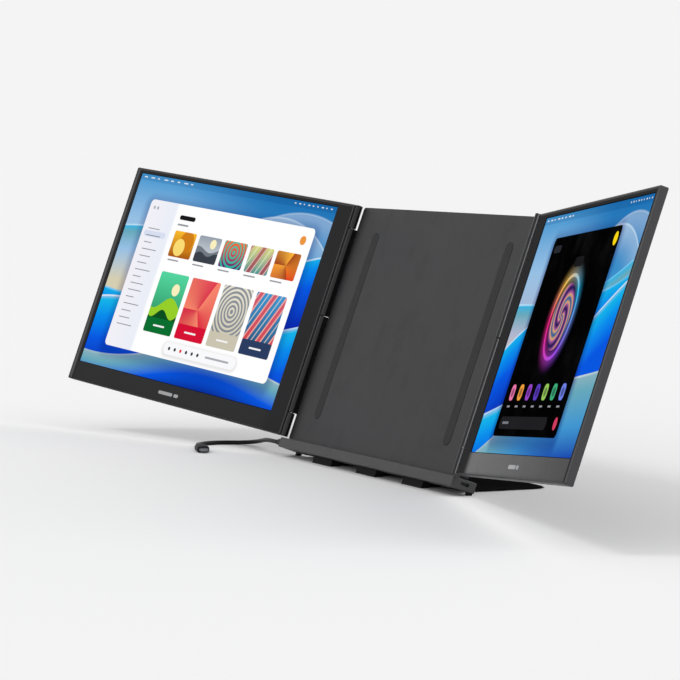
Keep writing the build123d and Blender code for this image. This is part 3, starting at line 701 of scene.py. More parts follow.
def span_mask(place, across_span, upward_span, corner=0.0, blur=0.25):
    """The same for a box that is given by its edges."""
    (left, right), (bottom, top) = across_span, upward_span
    middle = ((left + right) / 2, (bottom + top) / 2)
    return box_mask(place, middle, (right - left, top - bottom), corner, blur)


def distance_from(place, middle):
    """How far a point of a face is from another."""
    return place.vector("DISTANCE", place, (middle[0], 0.0, middle[1]), output="Value")


def disc_mask(place, middle, radius, blur=0.25):
    """1 inside a disc, 0 outside it."""
    return 1 - distance_from(place, middle).step(radius, radius + blur)


def bearing(place, middle):
    """Which way a point of a face lies from another, from 0 to 1 over a full turn."""
    x, _, z = place.xyz()
    return x.math("ARCTAN2", z - middle[1], x - middle[0]) / full_turn + 0.5


print("kinds of mask", [mask.__name__ for mask in (box_mask, span_mask, disc_mask)])

# %% [markdown]
# ## Moulded plastic
# The shells, covers and rail are dark plastic from textured moulds. Up close that is a field of tiny
# cells; from a step back it reads as a satin that is never quite even, with faint handling marks. One
# colour with one roughness would look like a drawing of it, so each plastic has the cells in its bump,
# and two slow noises in its colour and its roughness.

# %% Moulded plastic
mottle_scale, mark_scale, mark_steps = 9.0, 38.0, (0.48, 0.72)
darkest, lightest = 0.80, 1.25
gloss_drift, mark_haze = 0.10, 0.05


def speckle(tree, colour, place, cells):
    """A colour mottled by mould grain and by a slow noise; also the grain, the noise and the marks."""
    slow = noise(tree, place, mottle_scale, detail=4.0)
    fine = grain(tree, place, cells)
    marks = noise(tree, place, mark_scale, detail=5.0, roughness=0.62).step(*mark_steps)
    speckled = (fine * 0.5 + slow * 0.6).mix(scaled(colour, darkest), scaled(colour, lightest))
    return speckled, fine, slow, marks


def satin(roughness, slow, marks):
    """A roughness that wanders with the slow noise and is a little higher on the marks."""
    return roughness + (slow - 0.5) * gloss_drift + marks * mark_haze


def moulded_plastic(name, colour, roughness, cells=2600.0, over=None):
    """A satin plastic with mould grain, slight mottling and handling marks, and what goes over it."""
    material, tree, shader = start_material(name, roughness, specular=0.3)
    speckled, fine, slow, marks = speckle(tree, colour, rest_place(tree), cells)
    normal = bump(tree, fine, grain_depth, 0.55)
    if over:
        speckled, normal = over(tree, speckled, normal)
    feed(shader, Base_Color=speckled, Roughness=satin(roughness, slow, marks), Normal=normal)
    return material


# Each plain plastic: its colour, its roughness and how many cells its grain has in a metre.
plastic_looks = {
    "front_plastic": (paint(34, 34, 36), 0.50, 2600.0),
    "rail_plastic": (paint(58, 58, 59), 0.48, 3000.0),
    "button_plastic": (paint(26, 26, 27), 0.36, 5000.0),
    "plug_plastic": (paint(22, 22, 23), 0.52, 3600.0),
    "chip_plastic": (paint(22, 22, 24), 0.40, 9000.0),
}
plastics = {name: moulded_plastic(name, *look) for name, look in plastic_looks.items()}
print("plain plastics", sorted(plastics))

# %% [markdown]
# ## Lined backs
# The backs carry a field of fine moulded lines, a tenth of a millimetre deep, which gives fingers a
# hold and hides scratches. Nearly seventy grooves in each back would be a heavy mesh for a
# relief that thin, so a wave up the back lays them into the bump, inside a round-cornered mask.
# The same wave paints their hollows darker, as painted shade.

# %% Lined backs
back_margin, back_corner, field_blur = 13.0, 9.0, 0.6
line_pitch, line_depth = 2.6, 0.12 * mm
# Only the outermost skin of a back has lines, so its sides stay plain.
skin = 0.4
# The shell's front edge has painted shade along its foot: how high and how deep.
foot_shade_band, foot_shade_depth = 1.2, 0.4


def lined_back(placed, across_span, upward_span, front):
    """A field of fine level lines with painted shade in their hollows, on what lies further back than
    front, in millimetres.
    """
    def over(tree, colour, normal):
        place = placed(tree)
        _, depth, height = place.xyz()
        field = span_mask(flat(place), across_span, upward_span, back_corner, field_blur)
        hollow = (height.wave(line_pitch) * 0.5 + 0.5) * field * depth.step(front, front + 0.1)
        # Painted shade: the hollows of the lines are darkened towards a near black.
        lined = (hollow * 0.45).mix(colour, paint(24, 24, 25))
        return lined, bump(tree, 1 - hollow, line_depth, under=normal)

    return over


def lined_cover():
    """The lined field on the back plate, inside its rows of screws."""
    (foot, top), (front, back) = reach("rear_cover", uphill), reach("rear_cover", rearward)
    half = reach("rear_cover", across)[1] / mm - 2 * back_margin
    upward_span = (2 * back_margin, (top - foot) / mm - 2 * back_margin)
    return lined_back(plate_place, (-half, half), upward_span, (back - front) / mm - skin)


def shell_lines_and_foot_shade(side):
    """The lined field behind the lit area, and painted shade on the front edge along the foot."""
    front, back = reach(f"{side}_rear_shell", display_axes(side)[1])
    lines = lined_back(
        lambda tree: display_place(tree, side),
        (back_margin, lit_width - back_margin), (back_margin, lit_height - back_margin),
        (back - front) / mm - skin,
    )
    foot = display_span(side, "rear_shell")[1][0]

    def over(tree, colour, normal):
        colour, normal = lines(tree, colour, normal)
        _, depth, height = display_place(tree, side).xyz()
        low = 1 - height.step(foot + foot_shade_band, foot + foot_shade_band + 0.3)
        in_front = 1 - depth.step(foot_shade_depth, foot_shade_depth + 0.2)
        # Painted shade: the front edge along the foot turns near black, as a rim facing down would look.
        return (low * in_front).mix(colour, paint(20, 20, 21)), normal

    return over


cover_colour, shell_colour = paint(46, 46, 48), paint(60, 60, 62)
plastics["cover_plastic"] = moulded_plastic("cover_plastic", cover_colour, 0.50, over=lined_cover())
for side in sides:
    shell = f"{side}_shell_plastic"
    plastics[shell] = moulded_plastic(shell, shell_colour, 0.48, over=shell_lines_and_foot_shade(side))
print("lines on a shell", round((lit_height - 2 * back_margin) / line_pitch))

# %% [markdown]
# ## The bezel and its chin
# The front frame is dead matt round the glass. A lighter band along its outer and its upper edge is
# painted highlight, where a rounded edge would catch the light. Only the chin has a soft-touch coat,
# which pales at a glancing view, most towards the hinge. Sheen does that, but a sheen that varies is
# lost in an export, so the coat is a second shader with one constant sheen, and a mask mixes it in. Two
# plain pale dashes are inlaid there.

# %% Bezel
chin_height, dash_height = 19.3, 3.0
dashes = ((lit_width / 2 - 4.5, 23.0), (lit_width / 2 + 13.0, 7.0))
# Widths of the painted highlight along the outer and the upper edge, and how far masks reach past it.
highlight_band, top_highlight_band, past_edge = 4.0, 0.7, 5.0
coat_start, coat_end, coat_fade = (-4.0, 14.0), (lit_width - 1.0, lit_width), 0.6
chin_look = {"Specular IOR Level": 0.12, "Sheen Weight": 1.0, "Sheen Roughness": 0.3}


def plate_off_highlight(place, side):
    """1 on the bezel but for a narrow band of painted highlight along its outer and its upper edge."""
    (left, right), (bottom, top) = display_span(side, "bezel")
    if side == "left":
        across_span = (left + highlight_band, right + past_edge)
    else:
        across_span = (left - past_edge, right - highlight_band)
    return span_mask(flat(place), across_span, (bottom - past_edge, top - top_highlight_band), blur=0.1)


def chin_mask(place, side):
    """1 on the chin by the hinge, less of it further out, and 0 all round the glass."""
    x, _, z = place.xyz()
    outward = x if sides[side] > 0 else lit_width - x
    along = outward.step(*coat_start) * (1 - outward.step(*coat_end))
    return along * (1 - z.step(-0.4, 0.0)) * (1 - outward / lit_width * coat_fade)


def inlaid(place, colour):
    """The chin's colour with its two dashes."""
    for middle, length in dashes:
        dash = box_mask(flat(place), (middle, -chin_height / 2), (length, dash_height), dash_height / 2)
        colour = dash.mix(colour, paint(200, 200, 202))
    return colour


def bezel_plastic(side):
    """A dead matt frame, with a painted highlight along its outer and upper edge, and a soft-touch chin.
    """
    material, tree, frame_shader = start_material(f"{side}_bezel_plastic", 0.6, specular=0.0)
    speckled, fine, slow, marks = speckle(tree, paint(48, 48, 49), rest_place(tree), 3200.0)
    place = display_place(tree, side)
    gloss, normal = satin(0.6, slow, marks), bump(tree, fine, grain_depth, 0.4)
    # Painted highlight: the band along the outer and upper edge is lighter, as a rounded edge catching
    # light.
    matt = plate_off_highlight(place, side).mix(paint(88, 88, 89), speckled)
    feed(frame_shader, Base_Color=matt, Roughness=gloss, Normal=normal)
    coated = inlaid(place, (slow * 0.6).mix(paint(27, 27, 28), paint(33, 33, 34)))
    chin_inputs = {"Base Color": coated, "Roughness": gloss, "Normal": normal, **chin_look}
    chin = tree.node("ShaderNodeBsdfPrincipled", {}, chin_inputs)
    share = chin_mask(place, side) * (1 - marks * 0.06)
    matt_look = Wire(tree.tree, frame_shader.outputs["BSDF"])
    mixed = tree.node("ShaderNodeMixShader", {}, {0: share, 1: matt_look, 2: chin})
    tree.tree.links.new(mixed.socket, tree.tree.nodes["Material Output"].inputs["Surface"])
    return material


for side in sides:
    plastics[f"{side}_bezel_plastic"] = bezel_plastic(side)
print("plastics", sorted(plastics))

# %% [markdown]
# ## Rubber and silicone
# Softer than plastic and without gloss: dull, a little dusty in the hollows, with the faint pitting of
# a moulded rubber. A darker plastic would do from afar, but sheen gives the pale bloom that rubber
# shows at its edges.

# %% Rubbers
cloud_scale, pit_scale = 60.0, 5200.0


def moulded_rubber(name, colour, roughness, dust, sheen):
    """A dull soft black with dust and pitting."""
    material, tree, shader = start_material(name, roughness, specular=0.2)
    shader.inputs["Sheen Weight"].default_value = sheen
    shader.inputs["Sheen Roughness"].default_value = 0.6
    place = rest_place(tree)
    cloudy = noise(tree, place, cloud_scale, detail=5.0, roughness=0.6)
    pits = noise(tree, place, pit_scale, detail=2.0)
    feed(
        shader,
        Base_Color=cloudy.step(0.35, 0.8).mix(colour, dust),
        Roughness=roughness + (cloudy - 0.5) * 0.12,
        Normal=bump(tree, pits, grain_depth, 0.5),
    )
    return material


# Each rubber: its colour, its roughness, its dust and its sheen.
rubber_looks = {
    "silicone": (paint(22, 22, 23), 0.62, paint(32, 32, 33), 0.04),
    "foot_rubber": (paint(10, 10, 10), 0.85, paint(20, 19, 19), 0.04),
    "cable_jacket": (paint(12, 12, 13), 0.42, paint(20, 20, 21), 0.0),
}
rubbers = {name: moulded_rubber(name, *look) for name, look in rubber_looks.items()}
print("rubbers", sorted(rubbers))

# %% [markdown]
# ## Drawn metal
# Pins, screws and plug shells are drawn, turned or folded from sheet, and all three leave fine lines
# in one direction. An anisotropic shader would stretch their highlights, but shows no single line.
# Noise that is stretched a hundred times along the part gives both the lines and the long gloss.

# %% Drawn metal
line_stretch, wear_scale = 100, 45.0


def drawn_metal(name, colour, roughness, along, lines):
    """Metal with fine drawing lines along a direction, X, Y or Z of the part."""
    material, tree, shader = start_material(name, roughness, metallic=1.0)
    place = rest_place(tree)
    stretch = tuple(lines / line_stretch if axis == along else lines for axis in "XYZ")
    drawn = noise(tree, tree.vector("MULTIPLY", place, stretch), 1.0, detail=4.0)
    worn = noise(tree, place, wear_scale, detail=4.0)
    feed(
        shader,
        Base_Color=(drawn * 0.7 + worn * 0.3).mix(colour, scaled(colour, 1.25)),
        Roughness=roughness + (drawn - 0.5) * 0.16 + (worn - 0.5) * 0.08,
        Normal=bump(tree, drawn, drawn_depth, 0.5),
    )
    return material


# Each drawn metal: its colour, its roughness, which way its lines run and how fine they are.
metal_looks = {
    "pin_steel": (paint(168, 170, 174), 0.26, "Z", 900.0),
    "screw_steel": (paint(92, 93, 96), 0.34, "X", 2400.0),
    "frame_steel": (paint(150, 152, 155), 0.42, "X", 900.0),
    "plug_steel": (paint(150, 152, 156), 0.28, "Y", 3000.0),
    "contact_gilt": (paint(214, 176, 104), 0.25, "X", 4000.0),
}
metals = {name: drawn_metal(name, *look) for name, look in metal_looks.items()}
print("drawn metals", sorted(metals))

# %% [markdown]
# ## Coated steel
# The kickstand is a plate in dead matt black powder, with the round orange peel that baking leaves.
# The hinge barrels and leaves have a thinner, smoother coat. One fine line along the outermost side of
# each barrel is bare-looking metal with a lighter colour, a painted highlight that stands in for light
# caught there. A second material on that line would need its own faces, but a mask on how far out a
# point lies turns coat to metal without any.

# %% Coated steel
peel_scale, peel_depth, coat_scale = 1500.0, 0.05 * mm, 22.0
barrel_lines = (900.0, 900.0, 9.0)
# Where the painted highlight line begins inside the outermost side of a barrel, and how far past it it
# ends.
highlight_line_depth, highlight_line_end = 0.8 * mm, 0.2 * mm


def powder_coat(name, colour, roughness):
    """A dead matt black coat with the fine round orange peel of baked powder."""
    material, tree, shader = start_material(name, roughness, specular=0.0)
    place = rest_place(tree)
    peel = noise(tree, place, peel_scale, detail=2.0)
    slow = noise(tree, place, coat_scale)
    feed(
        shader,
        Base_Color=(slow * 0.6 + peel * 0.3).mix(colour, scaled(colour, 1.4)),
        Roughness=roughness + (slow - 0.5) * 0.10,
        Normal=bump(tree, peel, peel_depth, 0.45),
    )
    return material


def hinge_metal(name, colour, roughness):
    """Black coated steel, with a painted highlight of bare-looking metal in a line along the outermost
    side of each barrel.
    """
    material, tree, shader = start_material(name, roughness, specular=0.4)
    place = rest_place(tree)
    x, _, _ = place.xyz()
    outermost = reach("right_lower_spine", across)[1]
    # The painted highlight line: lighter, bare-looking metal along the outermost side of each barrel.
    ground = abs(x).step(outermost - highlight_line_depth, outermost - 0.8 * highlight_line_depth)
    ground = ground * (1 - abs(x).step(outermost + highlight_line_end, outermost + 1.5 * highlight_line_end))
    slow = noise(tree, place, coat_scale)
    drawn = noise(tree, tree.vector("MULTIPLY", place, barrel_lines), 1.0, detail=4.0)
    coat_colour = slow.mix(colour, paint(20, 20, 21))
    feed(
        shader,
        Base_Color=ground.mix(coat_colour, drawn.mix(paint(100, 100, 102), paint(130, 130, 132))),
        Metallic=ground,
        Roughness=roughness + (slow - 0.5) * 0.08 + (drawn - 0.5) * 0.06,
        Normal=bump(tree, drawn, drawn_depth, 0.4),
    )
    return material


metals["stand_steel"] = powder_coat("stand_steel", paint(20, 20, 20), 0.80)
metals["hinge_steel"] = hinge_metal("hinge_steel", paint(14, 14, 15), 0.24)
print("painted highlight line", round(highlight_line_depth / mm, 2), "mm deep")

# %% [markdown]
# ## The port's two materials
# A port is one solid, but the real one is a steel shell round a tongue of black moulding. Its faces
# could be sorted into two materials, but their numbers may change when the part is packed again. So
# one material tells the two apart by place: what lies within the tongue's half width and half height
# of the port's middle is moulding, and the rest is steel.

# %% Port steel
tongue_half_width, mask_edge = 3.35, 0.05
port_wear_scale, port_wear_depth = 900.0, 0.01 * mm


def port_metal(name, colour, roughness):
    """The steel of a receptacle, with the black moulding of the tongue in its middle."""
    material, tree, shader = start_material(name, roughness, metallic=1.0)
    middle_depth = sum(reach("right_port", rearward)) / 2 / mm
    middle_height = sum(reach("right_port", uphill)) / 2 / mm
    _, depth, height = face_place(tree, Vector(), (across, rearward, uphill)).xyz()
    half_height = tongue_half / mm
    tongue = 1 - abs(depth - middle_depth).step(tongue_half_width, tongue_half_width + mask_edge)
    tongue = tongue * (1 - abs(height - middle_height).step(half_height, half_height + mask_edge))
    worn = noise(tree, rest_place(tree), port_wear_scale, detail=4.0)
    feed(
        shader,
        Base_Color=tongue.mix(worn.mix(colour, scaled(colour, 1.25)), paint(10, 10, 11)),
        Metallic=1 - tongue,
        Roughness=roughness + (worn - 0.5) * 0.12,
        Normal=bump(tree, worn, port_wear_depth, 0.4),
    )
    return material


metals["port_steel"] = port_metal("port_steel", paint(96, 97, 100), 0.40)
print("metals", sorted(metals))

# %% [markdown]
# ## What is inside
# The boards, chips and ribbons are closed in, but whoever opens the part should find them finished.
# Their copper could be modelled, but at that size a wave in the colour and the bump is enough. On a
# board it runs across in some places and up in others, with small gilt pads between. A ribbon is an
# amber film whose copper shows through as a fine grid, and the light guide is pale, with the printed
# dots that let the light out.

# %% Inner finishes
lane_scale, run_scale, pad_scale = 420.0, 1400.0, 480.0
ribbon_scale, dot_scale = 6300.0, 700.0
run_depth, copper_depth = 0.03 * mm, 0.02 * mm


def circuit_board():
    """Dark green mask over copper runs and small pads."""
    material, tree, shader = start_material("circuit_board", 0.35, coat=0.4, coat_roughness=0.15)
    place = rest_place(tree)
    x, _, z = place.xyz()
    lane = noise(tree, place, lane_scale, detail=0.0).step(0.50, 0.54)
    runs = ((x * run_scale).sine() * lane + (z * run_scale).sine() * (1 - lane)).step(0.55, 0.75)
    pads = 1 - grain(tree, place, pad_scale).step(0.10, 0.14)
    mask = runs.mix(paint(14, 58, 40), paint(34, 96, 66))
    feed(
        shader,
        Base_Color=pads.mix(mask, paint(196, 178, 120)),
        Metallic=pads,
        Normal=bump(tree, runs.larger(pads), run_depth),
    )
    return material


def ribbon_film():
    """Amber film with its copper showing through as a fine grid."""
    material, tree, shader = start_material("ribbon_film", 0.30)
    x, _, z = rest_place(tree).xyz()
    copper = ((x * ribbon_scale).sine() * (z * ribbon_scale).sine()).step(-0.2, 0.3)
    amber = copper.mix(paint(150, 84, 22), paint(196, 120, 44))
    feed(shader, Base_Color=amber, Normal=bump(tree, copper, copper_depth))
    return material


def light_guide():
    """Pale acrylic and film, with the printed dots that let the light out."""
    material, tree, shader = start_material("light_guide", 0.25)
    dots = 1 - grain(tree, rest_place(tree), dot_scale).step(0.22, 0.32)
    pale = dots.mix(paint(214, 219, 224), paint(246, 248, 250))
    feed(shader, Base_Color=pale, Roughness=0.25 + dots * 0.3)
    return material


inner = {
    "circuit_board": circuit_board(),
    "ribbon_film": ribbon_film(),
    "light_guide": light_guide(),
}
print("inner finishes", sorted(inner))

# %% [markdown]
# ## What the displays show
# A display's picture is light behind its glass, so it is the shader's emission. Every shape of it is a
# mask: how far a point is outside the shape, turned into a soft step. Image files would be quicker, but
# masks stay sharp at any distance. First come the colours.

# %% Colours of light
WHITE, BLACK = paint(255, 255, 255), paint(0, 0, 0)
SKY, HIGH_SKY, PALE_SKY = paint(64, 150, 208), paint(26, 112, 180), paint(150, 192, 228)
HAZE, SAND = paint(176, 182, 206), paint(214, 206, 176)
CYAN, AZURE, BLUE, DEEP = paint(20, 180, 232), paint(8, 140, 236), paint(6, 86, 224), paint(8, 34, 168)
NIGHT, SEA, MIST = paint(4, 22, 124), paint(104, 168, 186), paint(140, 178, 190)
ARC_LIGHT, STRIP_TINT = paint(214, 236, 250), paint(12, 60, 120)
golden_angle = 2.399


def share_along(wire, start, length):
    """0 at the start of a length, 1 at its end."""
    return (wire - start) / length


def uneven(row, mean, swing):
    """A length for each row: it swings about a mean and seems never to repeat."""
    return (row * golden_angle).sine() * swing + mean


print("sky as light", [round(part, 3) for part in SKY[:3]])

# %% [markdown]
# ## The wallpaper
# Behind the windows lies a generic backdrop of wide folded bands: a blue sky with two thin arcs of
# light, a sandy haze on one side, and deep blue folds below. Each band is everything under one slow
# wave, coloured by how far below the wave a point is, and the bands are laid over each other from the
# back to the front. Light from the upper left runs along every crest.

# %% Wallpaper
# Each band: height at the left, rise to the right, swell, waves across, phase, and its colours from
# the crest down, each with the depth in millimetres at which it is reached.
left_bands = (
    (138.0, -8.0, 16.0, 0.55, 0.6, ((0, CYAN), (8, SEA), (26, PALE_SKY), (60, SAND))),
    (88.0, 46.0, 20.0, 0.62, 3.5, ((0, CYAN), (10, AZURE), (30, BLUE), (70, DEEP))),
    (58.0, 26.0, 14.0, 0.80, 1.2, ((0, PALE_SKY), (5, CYAN), (22, AZURE), (46, BLUE), (80, DEEP))),
    (24.0, 8.0, 11.0, 0.90, 4.3, ((0, MIST), (9, SEA), (24, BLUE), (44, NIGHT))),
)
right_bands = (
    (118.0, 44.0, 18.0, 0.50, 2.6, ((0, CYAN), (9, SEA), (26, HAZE), (54, SAND))),
    (72.0, 88.0, 20.0, 0.56, 1.0, ((0, CYAN), (14, AZURE), (34, BLUE), (76, DEEP))),
    (34.0, 92.0, 12.0, 0.66, 3.2, ((0, PALE_SKY), (6, CYAN), (22, AZURE), (44, BLUE))),
    (6.0, 66.0, 9.0, 0.80, 5.0, ((0, MIST), (12, SEA), (40, SKY), (70, DEEP))),
)
sky_arcs = (((250.0, 60.0), 122.0, 0.5), ((285.0, 40.0), 150.0, 0.3))
haze_fades, veil_depth, veil_strength = (40.0, 240.0), 34.0, 0.30


def sky(place):
    """Haze on the left, blue on the right, and two thin arcs of light."""
    x, _, z = place.xyz()
    height = z / lit_height
    hazy = height.ramp((0.30, SAND), (0.52, HAZE), (0.76, PALE_SKY), (1.0, SKY))
    clear = height.ramp((0.30, PALE_SKY), (0.62, SKY), (1.0, HIGH_SKY))
    colour = x.step(*haze_fades).mix(hazy, clear)
    for middle, radius, strength in sky_arcs:
        inside = radius - distance_from(place, middle)
        veil = inside.step(0.0, 0.6) * (1 - inside.step(0.6, veil_depth))
        line = 1 - abs(inside).step(0.3, 1.3)
        colour = (veil * veil_strength + line * strength).mix(colour, ARC_LIGHT)
    return colour


def wallpaper(place, bands):
    """The sky with folded bands over it."""
    x, _, z = place.xyz()
    colour = sky(place)
    for low, rise, swell, waves, phase, stops in bands:
        wave = (x * (waves * full_turn / lit_width) + phase).sine()
        depth = x * (rise / lit_width) + wave * swell + low - z
        deepest = stops[-1][0]
        fill = (depth / deepest).ramp(*[(stop / deepest, shade) for stop, shade in stops])
        crest = 1 - abs(depth - 0.6).step(0.2, 1.8)
        glow = (wave + 1) * 0.5
        lit = (crest * (glow * 0.5 + 0.1)).mix(fill, WHITE)
        colour = depth.step(-0.25, 0.25).mix(colour, lit)
    return colour


print("bands", len(left_bands), len(right_bands))

# %% [markdown]
# ## The strip along the top
# A desktop has a thin strip at its top edge with a row of fine marks at both ends. Lettering would be
# somebody's, so the marks are dashes: a position along the row, taken modulo the pitch, repeats one
# dash, and the number of the repeat gives each its own length.

# %% Top strip
strip_height, strip_strength = 7.0, 0.22
dash_half, dash_blur, dash_strength = 0.45, 0.3, 0.7
# Each row: where it starts, how many dashes it has, their pitch and the longest dash.
dash_rows = ((6.0, 8, 11.5, 7.0), (lit_width - 66.0, 9, 7.0, 3.2))


def top_strip(place, colour):
    """A slightly darker strip along the top with a row of fine pale dashes at both ends."""
    x, _, z = place.xyz()
    strip = (z - (lit_height - strip_height)).step(-0.2, 0.2)
    colour = (strip * strip_strength).mix(colour, STRIP_TINT)
    in_height = 1 - abs(z - (lit_height - strip_height / 2)).step(dash_half, dash_half + dash_blur)
    for first, count, pitch, longest in dash_rows:
        along = x - first
        in_row = along.step(-0.1, 0.1) * (1 - (along - count * pitch).step(-1.0, -0.8))
        length = uneven((along / pitch).floor(), 0.75 * longest, 0.25 * longest)
        in_dash = 1 - (along % pitch - length).step(-0.2, 0.2)
        colour = (in_row * in_dash * in_height * dash_strength).mix(colour, WHITE)
    return colour


print("dashes", sum(count for _, count, _, _ in dash_rows))

# %% [markdown]
# ## Tiles and their motifs
# A window's tiles fade from foot to top, and each has one plain motif: rings, stripes, hills, discs or
# facets. Small images could fill them, but they would blur up close. Every motif takes its arguments
# in the same order, so a tile names its motif and colours in one row of a table. Each function paints
# over what is there already and gives the new colour back.

# %% Tiles
tile_corner = 2.0
SUN = paint(250, 240, 190)


def rings_motif(place, colour, inside, middle, size, tone):
    """Concentric rings round a point a little above the middle."""
    rings = distance_from(place, (middle[0], middle[1] + size[1] * 0.1)).wave(4.6).step(-0.1, 0.1)
    return (rings * inside * 0.85).mix(colour, tone)


def stripes_motif(place, colour, inside, middle, size, tone, other):
    """Slanted stripes of two widths."""
    x, _, z = place.xyz()
    run = x - z * 0.55
    colour = (run.wave(21.0).step(0.1, 0.16) * inside * 0.8).mix(colour, tone)
    return (run.wave(7.0).step(0.7, 0.76) * inside * 0.5).mix(colour, other)


def hills_motif(place, colour, inside, middle, size, tone, other):
    """A sun over two rows of soft hills."""
    x, _, z = place.xyz()
    sun = disc_mask(place, (middle[0] + size[0] * 0.18, middle[1] + size[1] * 0.24), size[0] * 0.13)
    colour = (sun * inside).mix(colour, SUN)
    for level, swell, count, shade in ((0.50, 0.10, 0.9, other), (0.32, 0.07, 1.4, tone)):
        ground = x.wave(size[0] / count) * (swell * size[1]) + (middle[1] + (level - 0.5) * size[1])
        colour = (inside * (ground - z).step(-0.2, 0.2)).mix(colour, shade)
    return colour


def discs_motif(place, colour, inside, middle, size, tone, other):
    """Two overlapping discs."""
    for shift, radius, shade in ((0.14, 0.30, other), (-0.12, 0.24, tone)):
        centre = (middle[0] + shift * size[0], middle[1] + shift * size[1])
        colour = (disc_mask(place, centre, radius * size[0]) * inside * 0.9).mix(colour, shade)
    return colour


def facets_motif(place, colour, inside, middle, size, tone, other):
    """Three folded facets that meet in the middle."""
    turn = bearing(place, middle) * 3 - 1
    colour = (inside * (turn * 0.5 % 1.0) * 0.5).mix(colour, other)
    return (turn % 1.0 * inside * 0.9).mix(colour, tone)


def tile(place, colour, middle, size, low, high, motif, tones):
    """A round-cornered tile that fades from its foot to its top, with a motif on it."""
    _, _, z = place.xyz()
    inside = box_mask(place, middle, size, tile_corner)
    fade = share_along(z, middle[1] - size[1] / 2, size[1]).ramp((0.0, low), (1.0, high))
    return motif(place, inside.mix(colour, fade), inside, middle, size, *tones)


print("tile corners", tile_corner, "mm")

# %% [markdown]
# ## Bars, lists and sheets
# What else a window holds is made of three things: bars with round ends, lists of uneven lines, and
# the round-cornered sheet that all of it lies on, over a soft shadow. A list could be a bar for each
# line, but a modulo makes all its lines from one, as in the strip above.

# %% Bars, lists and sheets
def bar(place, colour, middle, size, tone):
    """A bar with round ends."""
    return box_mask(place, middle, size, size[1] / 2).mix(colour, tone)


def bars(place, colour, rows):
    """Several bars, each from a row of middle, size and colour."""
    for middle, size, tone in rows:
        colour = bar(place, colour, middle, size, tone)
    return colour


def lines_column(place, colour, middle, size, pitch, tone, thick=0.8):
    """Short lines of uneven length under each other, as a list looks from afar."""
    x, _, z = place.xyz()
    left, top = middle[0] - size[0] / 2, middle[1] + size[1] / 2
    length = uneven(((top - z) / pitch).floor(), 0.72 * size[0], 0.24 * size[0])
    in_line = 1 - ((top - z) % pitch).step(thick, thick + 0.3)
    in_length = 1 - (x - left - length).step(-0.2, 0.2)
    return (in_line * in_length * box_mask(place, middle, size) * 0.8).mix(colour, tone)


def sheet(place, colour, middle, size, shadow, fill):
    """A window's sheet with its shadow, and where its left, right, lower and upper edges are."""
    dropped = (middle[0], middle[1] - 4.0)
    colour = (box_mask(place, dropped, size, 4.0, 14.0) * shadow).mix(colour, NIGHT)
    colour = box_mask(place, middle, size, 5.0).mix(colour, fill)
    return colour, [middle[axis] + sign * size[axis] / 2 for axis in (0, 1) for sign in (-1, 1)]


GREY, SOFT_GREY = paint(150, 152, 158), paint(168, 170, 178)
SLATE, INK = paint(64, 66, 74), paint(24, 24, 28)
print("greys as light", [round(tone[0], 3) for tone in (INK, SLATE, GREY, SOFT_GREY)])

# %% [markdown]
# ## The left display's window
# The left display shows a pale library window: a side column of short lines, small tiles above and tall
# ones below, and a bar of buttons at its foot. Nothing on it is a word, a name or a face. Its places
# are measured from the sheet's own edges, so the whole window moves as one.

# %% Library window
# Each tile: its motif, its colour at the foot and at the top, and the motif's colours.
small_tiles = (
    (discs_motif, paint(168, 84, 14), paint(250, 186, 44), paint(255, 226, 120), paint(206, 120, 20)),
    (hills_motif, paint(212, 218, 224), paint(150, 160, 172), paint(58, 64, 74), paint(112, 120, 130)),
    (rings_motif, paint(64, 26, 120), paint(250, 104, 40), paint(24, 190, 160)),
    (stripes_motif, paint(70, 150, 150), paint(216, 214, 130), paint(170, 44, 78), paint(250, 250, 230)),
    (facets_motif, paint(232, 60, 30), paint(252, 170, 40), paint(150, 26, 24), paint(252, 220, 90)),
)
tall_tiles = (
    (hills_motif, paint(8, 110, 48), paint(84, 214, 160), paint(8, 78, 30), paint(150, 206, 40)),
    (facets_motif, paint(214, 16, 52), paint(240, 70, 90), paint(250, 140, 110), paint(170, 10, 60)),
    (rings_motif, paint(202, 196, 176), paint(230, 225, 208), paint(112, 122, 138)),
    (stripes_motif, paint(42, 60, 96), paint(56, 150, 208), paint(232, 66, 60), paint(250, 236, 220)),
)


def row_of_tiles(place, colour, tiles, first, pitch, size, foot):
    """Tiles side by side; a foot of more than 0 gives each a plain foot with a small bar on it."""
    for index, (motif, low, high, *tones) in enumerate(tiles):
        middle = (first[0] + index * pitch, first[1])
        colour = tile(place, colour, middle, size, low, high, motif, tones)
        if foot:
            base = (middle[0], middle[1] - (size[1] - foot) / 2)
            colour = box_mask(place, base, (size[0], foot), tile_corner).mix(colour, low)
            colour = bar(place, colour, base, (size[0] * 0.4, 1.5), paint(244, 244, 246))
        else:
            under = (middle[0] - size[0] * 0.2, middle[1] - size[1] / 2 - 3.6)
            colour = bar(place, colour, under, (size[0] * 0.5, 1.2), GREY)
    return colour


def button_bar(place, colour, left, bottom):
    """A pale bar with six dots and a short line, over its own soft shadow."""
    middle, size, height = left + 157.0, (118.0, 12.0), bottom + 11.0
    shadow = box_mask(place, (middle, height - 1.0), (size[0], size[1] - 1.0), 5.5, 5.0)
    colour = (shadow * 0.2).mix(colour, BLACK)
    colour = bar(place, colour, (middle, height), size, paint(249, 249, 251))
    for index in range(6):
        tone = paint(232, 52, 60) if index == 2 else SLATE
        colour = disc_mask(place, (left + 107.0 + index * 9.5, height), 1.7).mix(colour, tone)
    return bar(place, colour, (left + 186.0, height), (38.0, 1.8), SOFT_GREY)


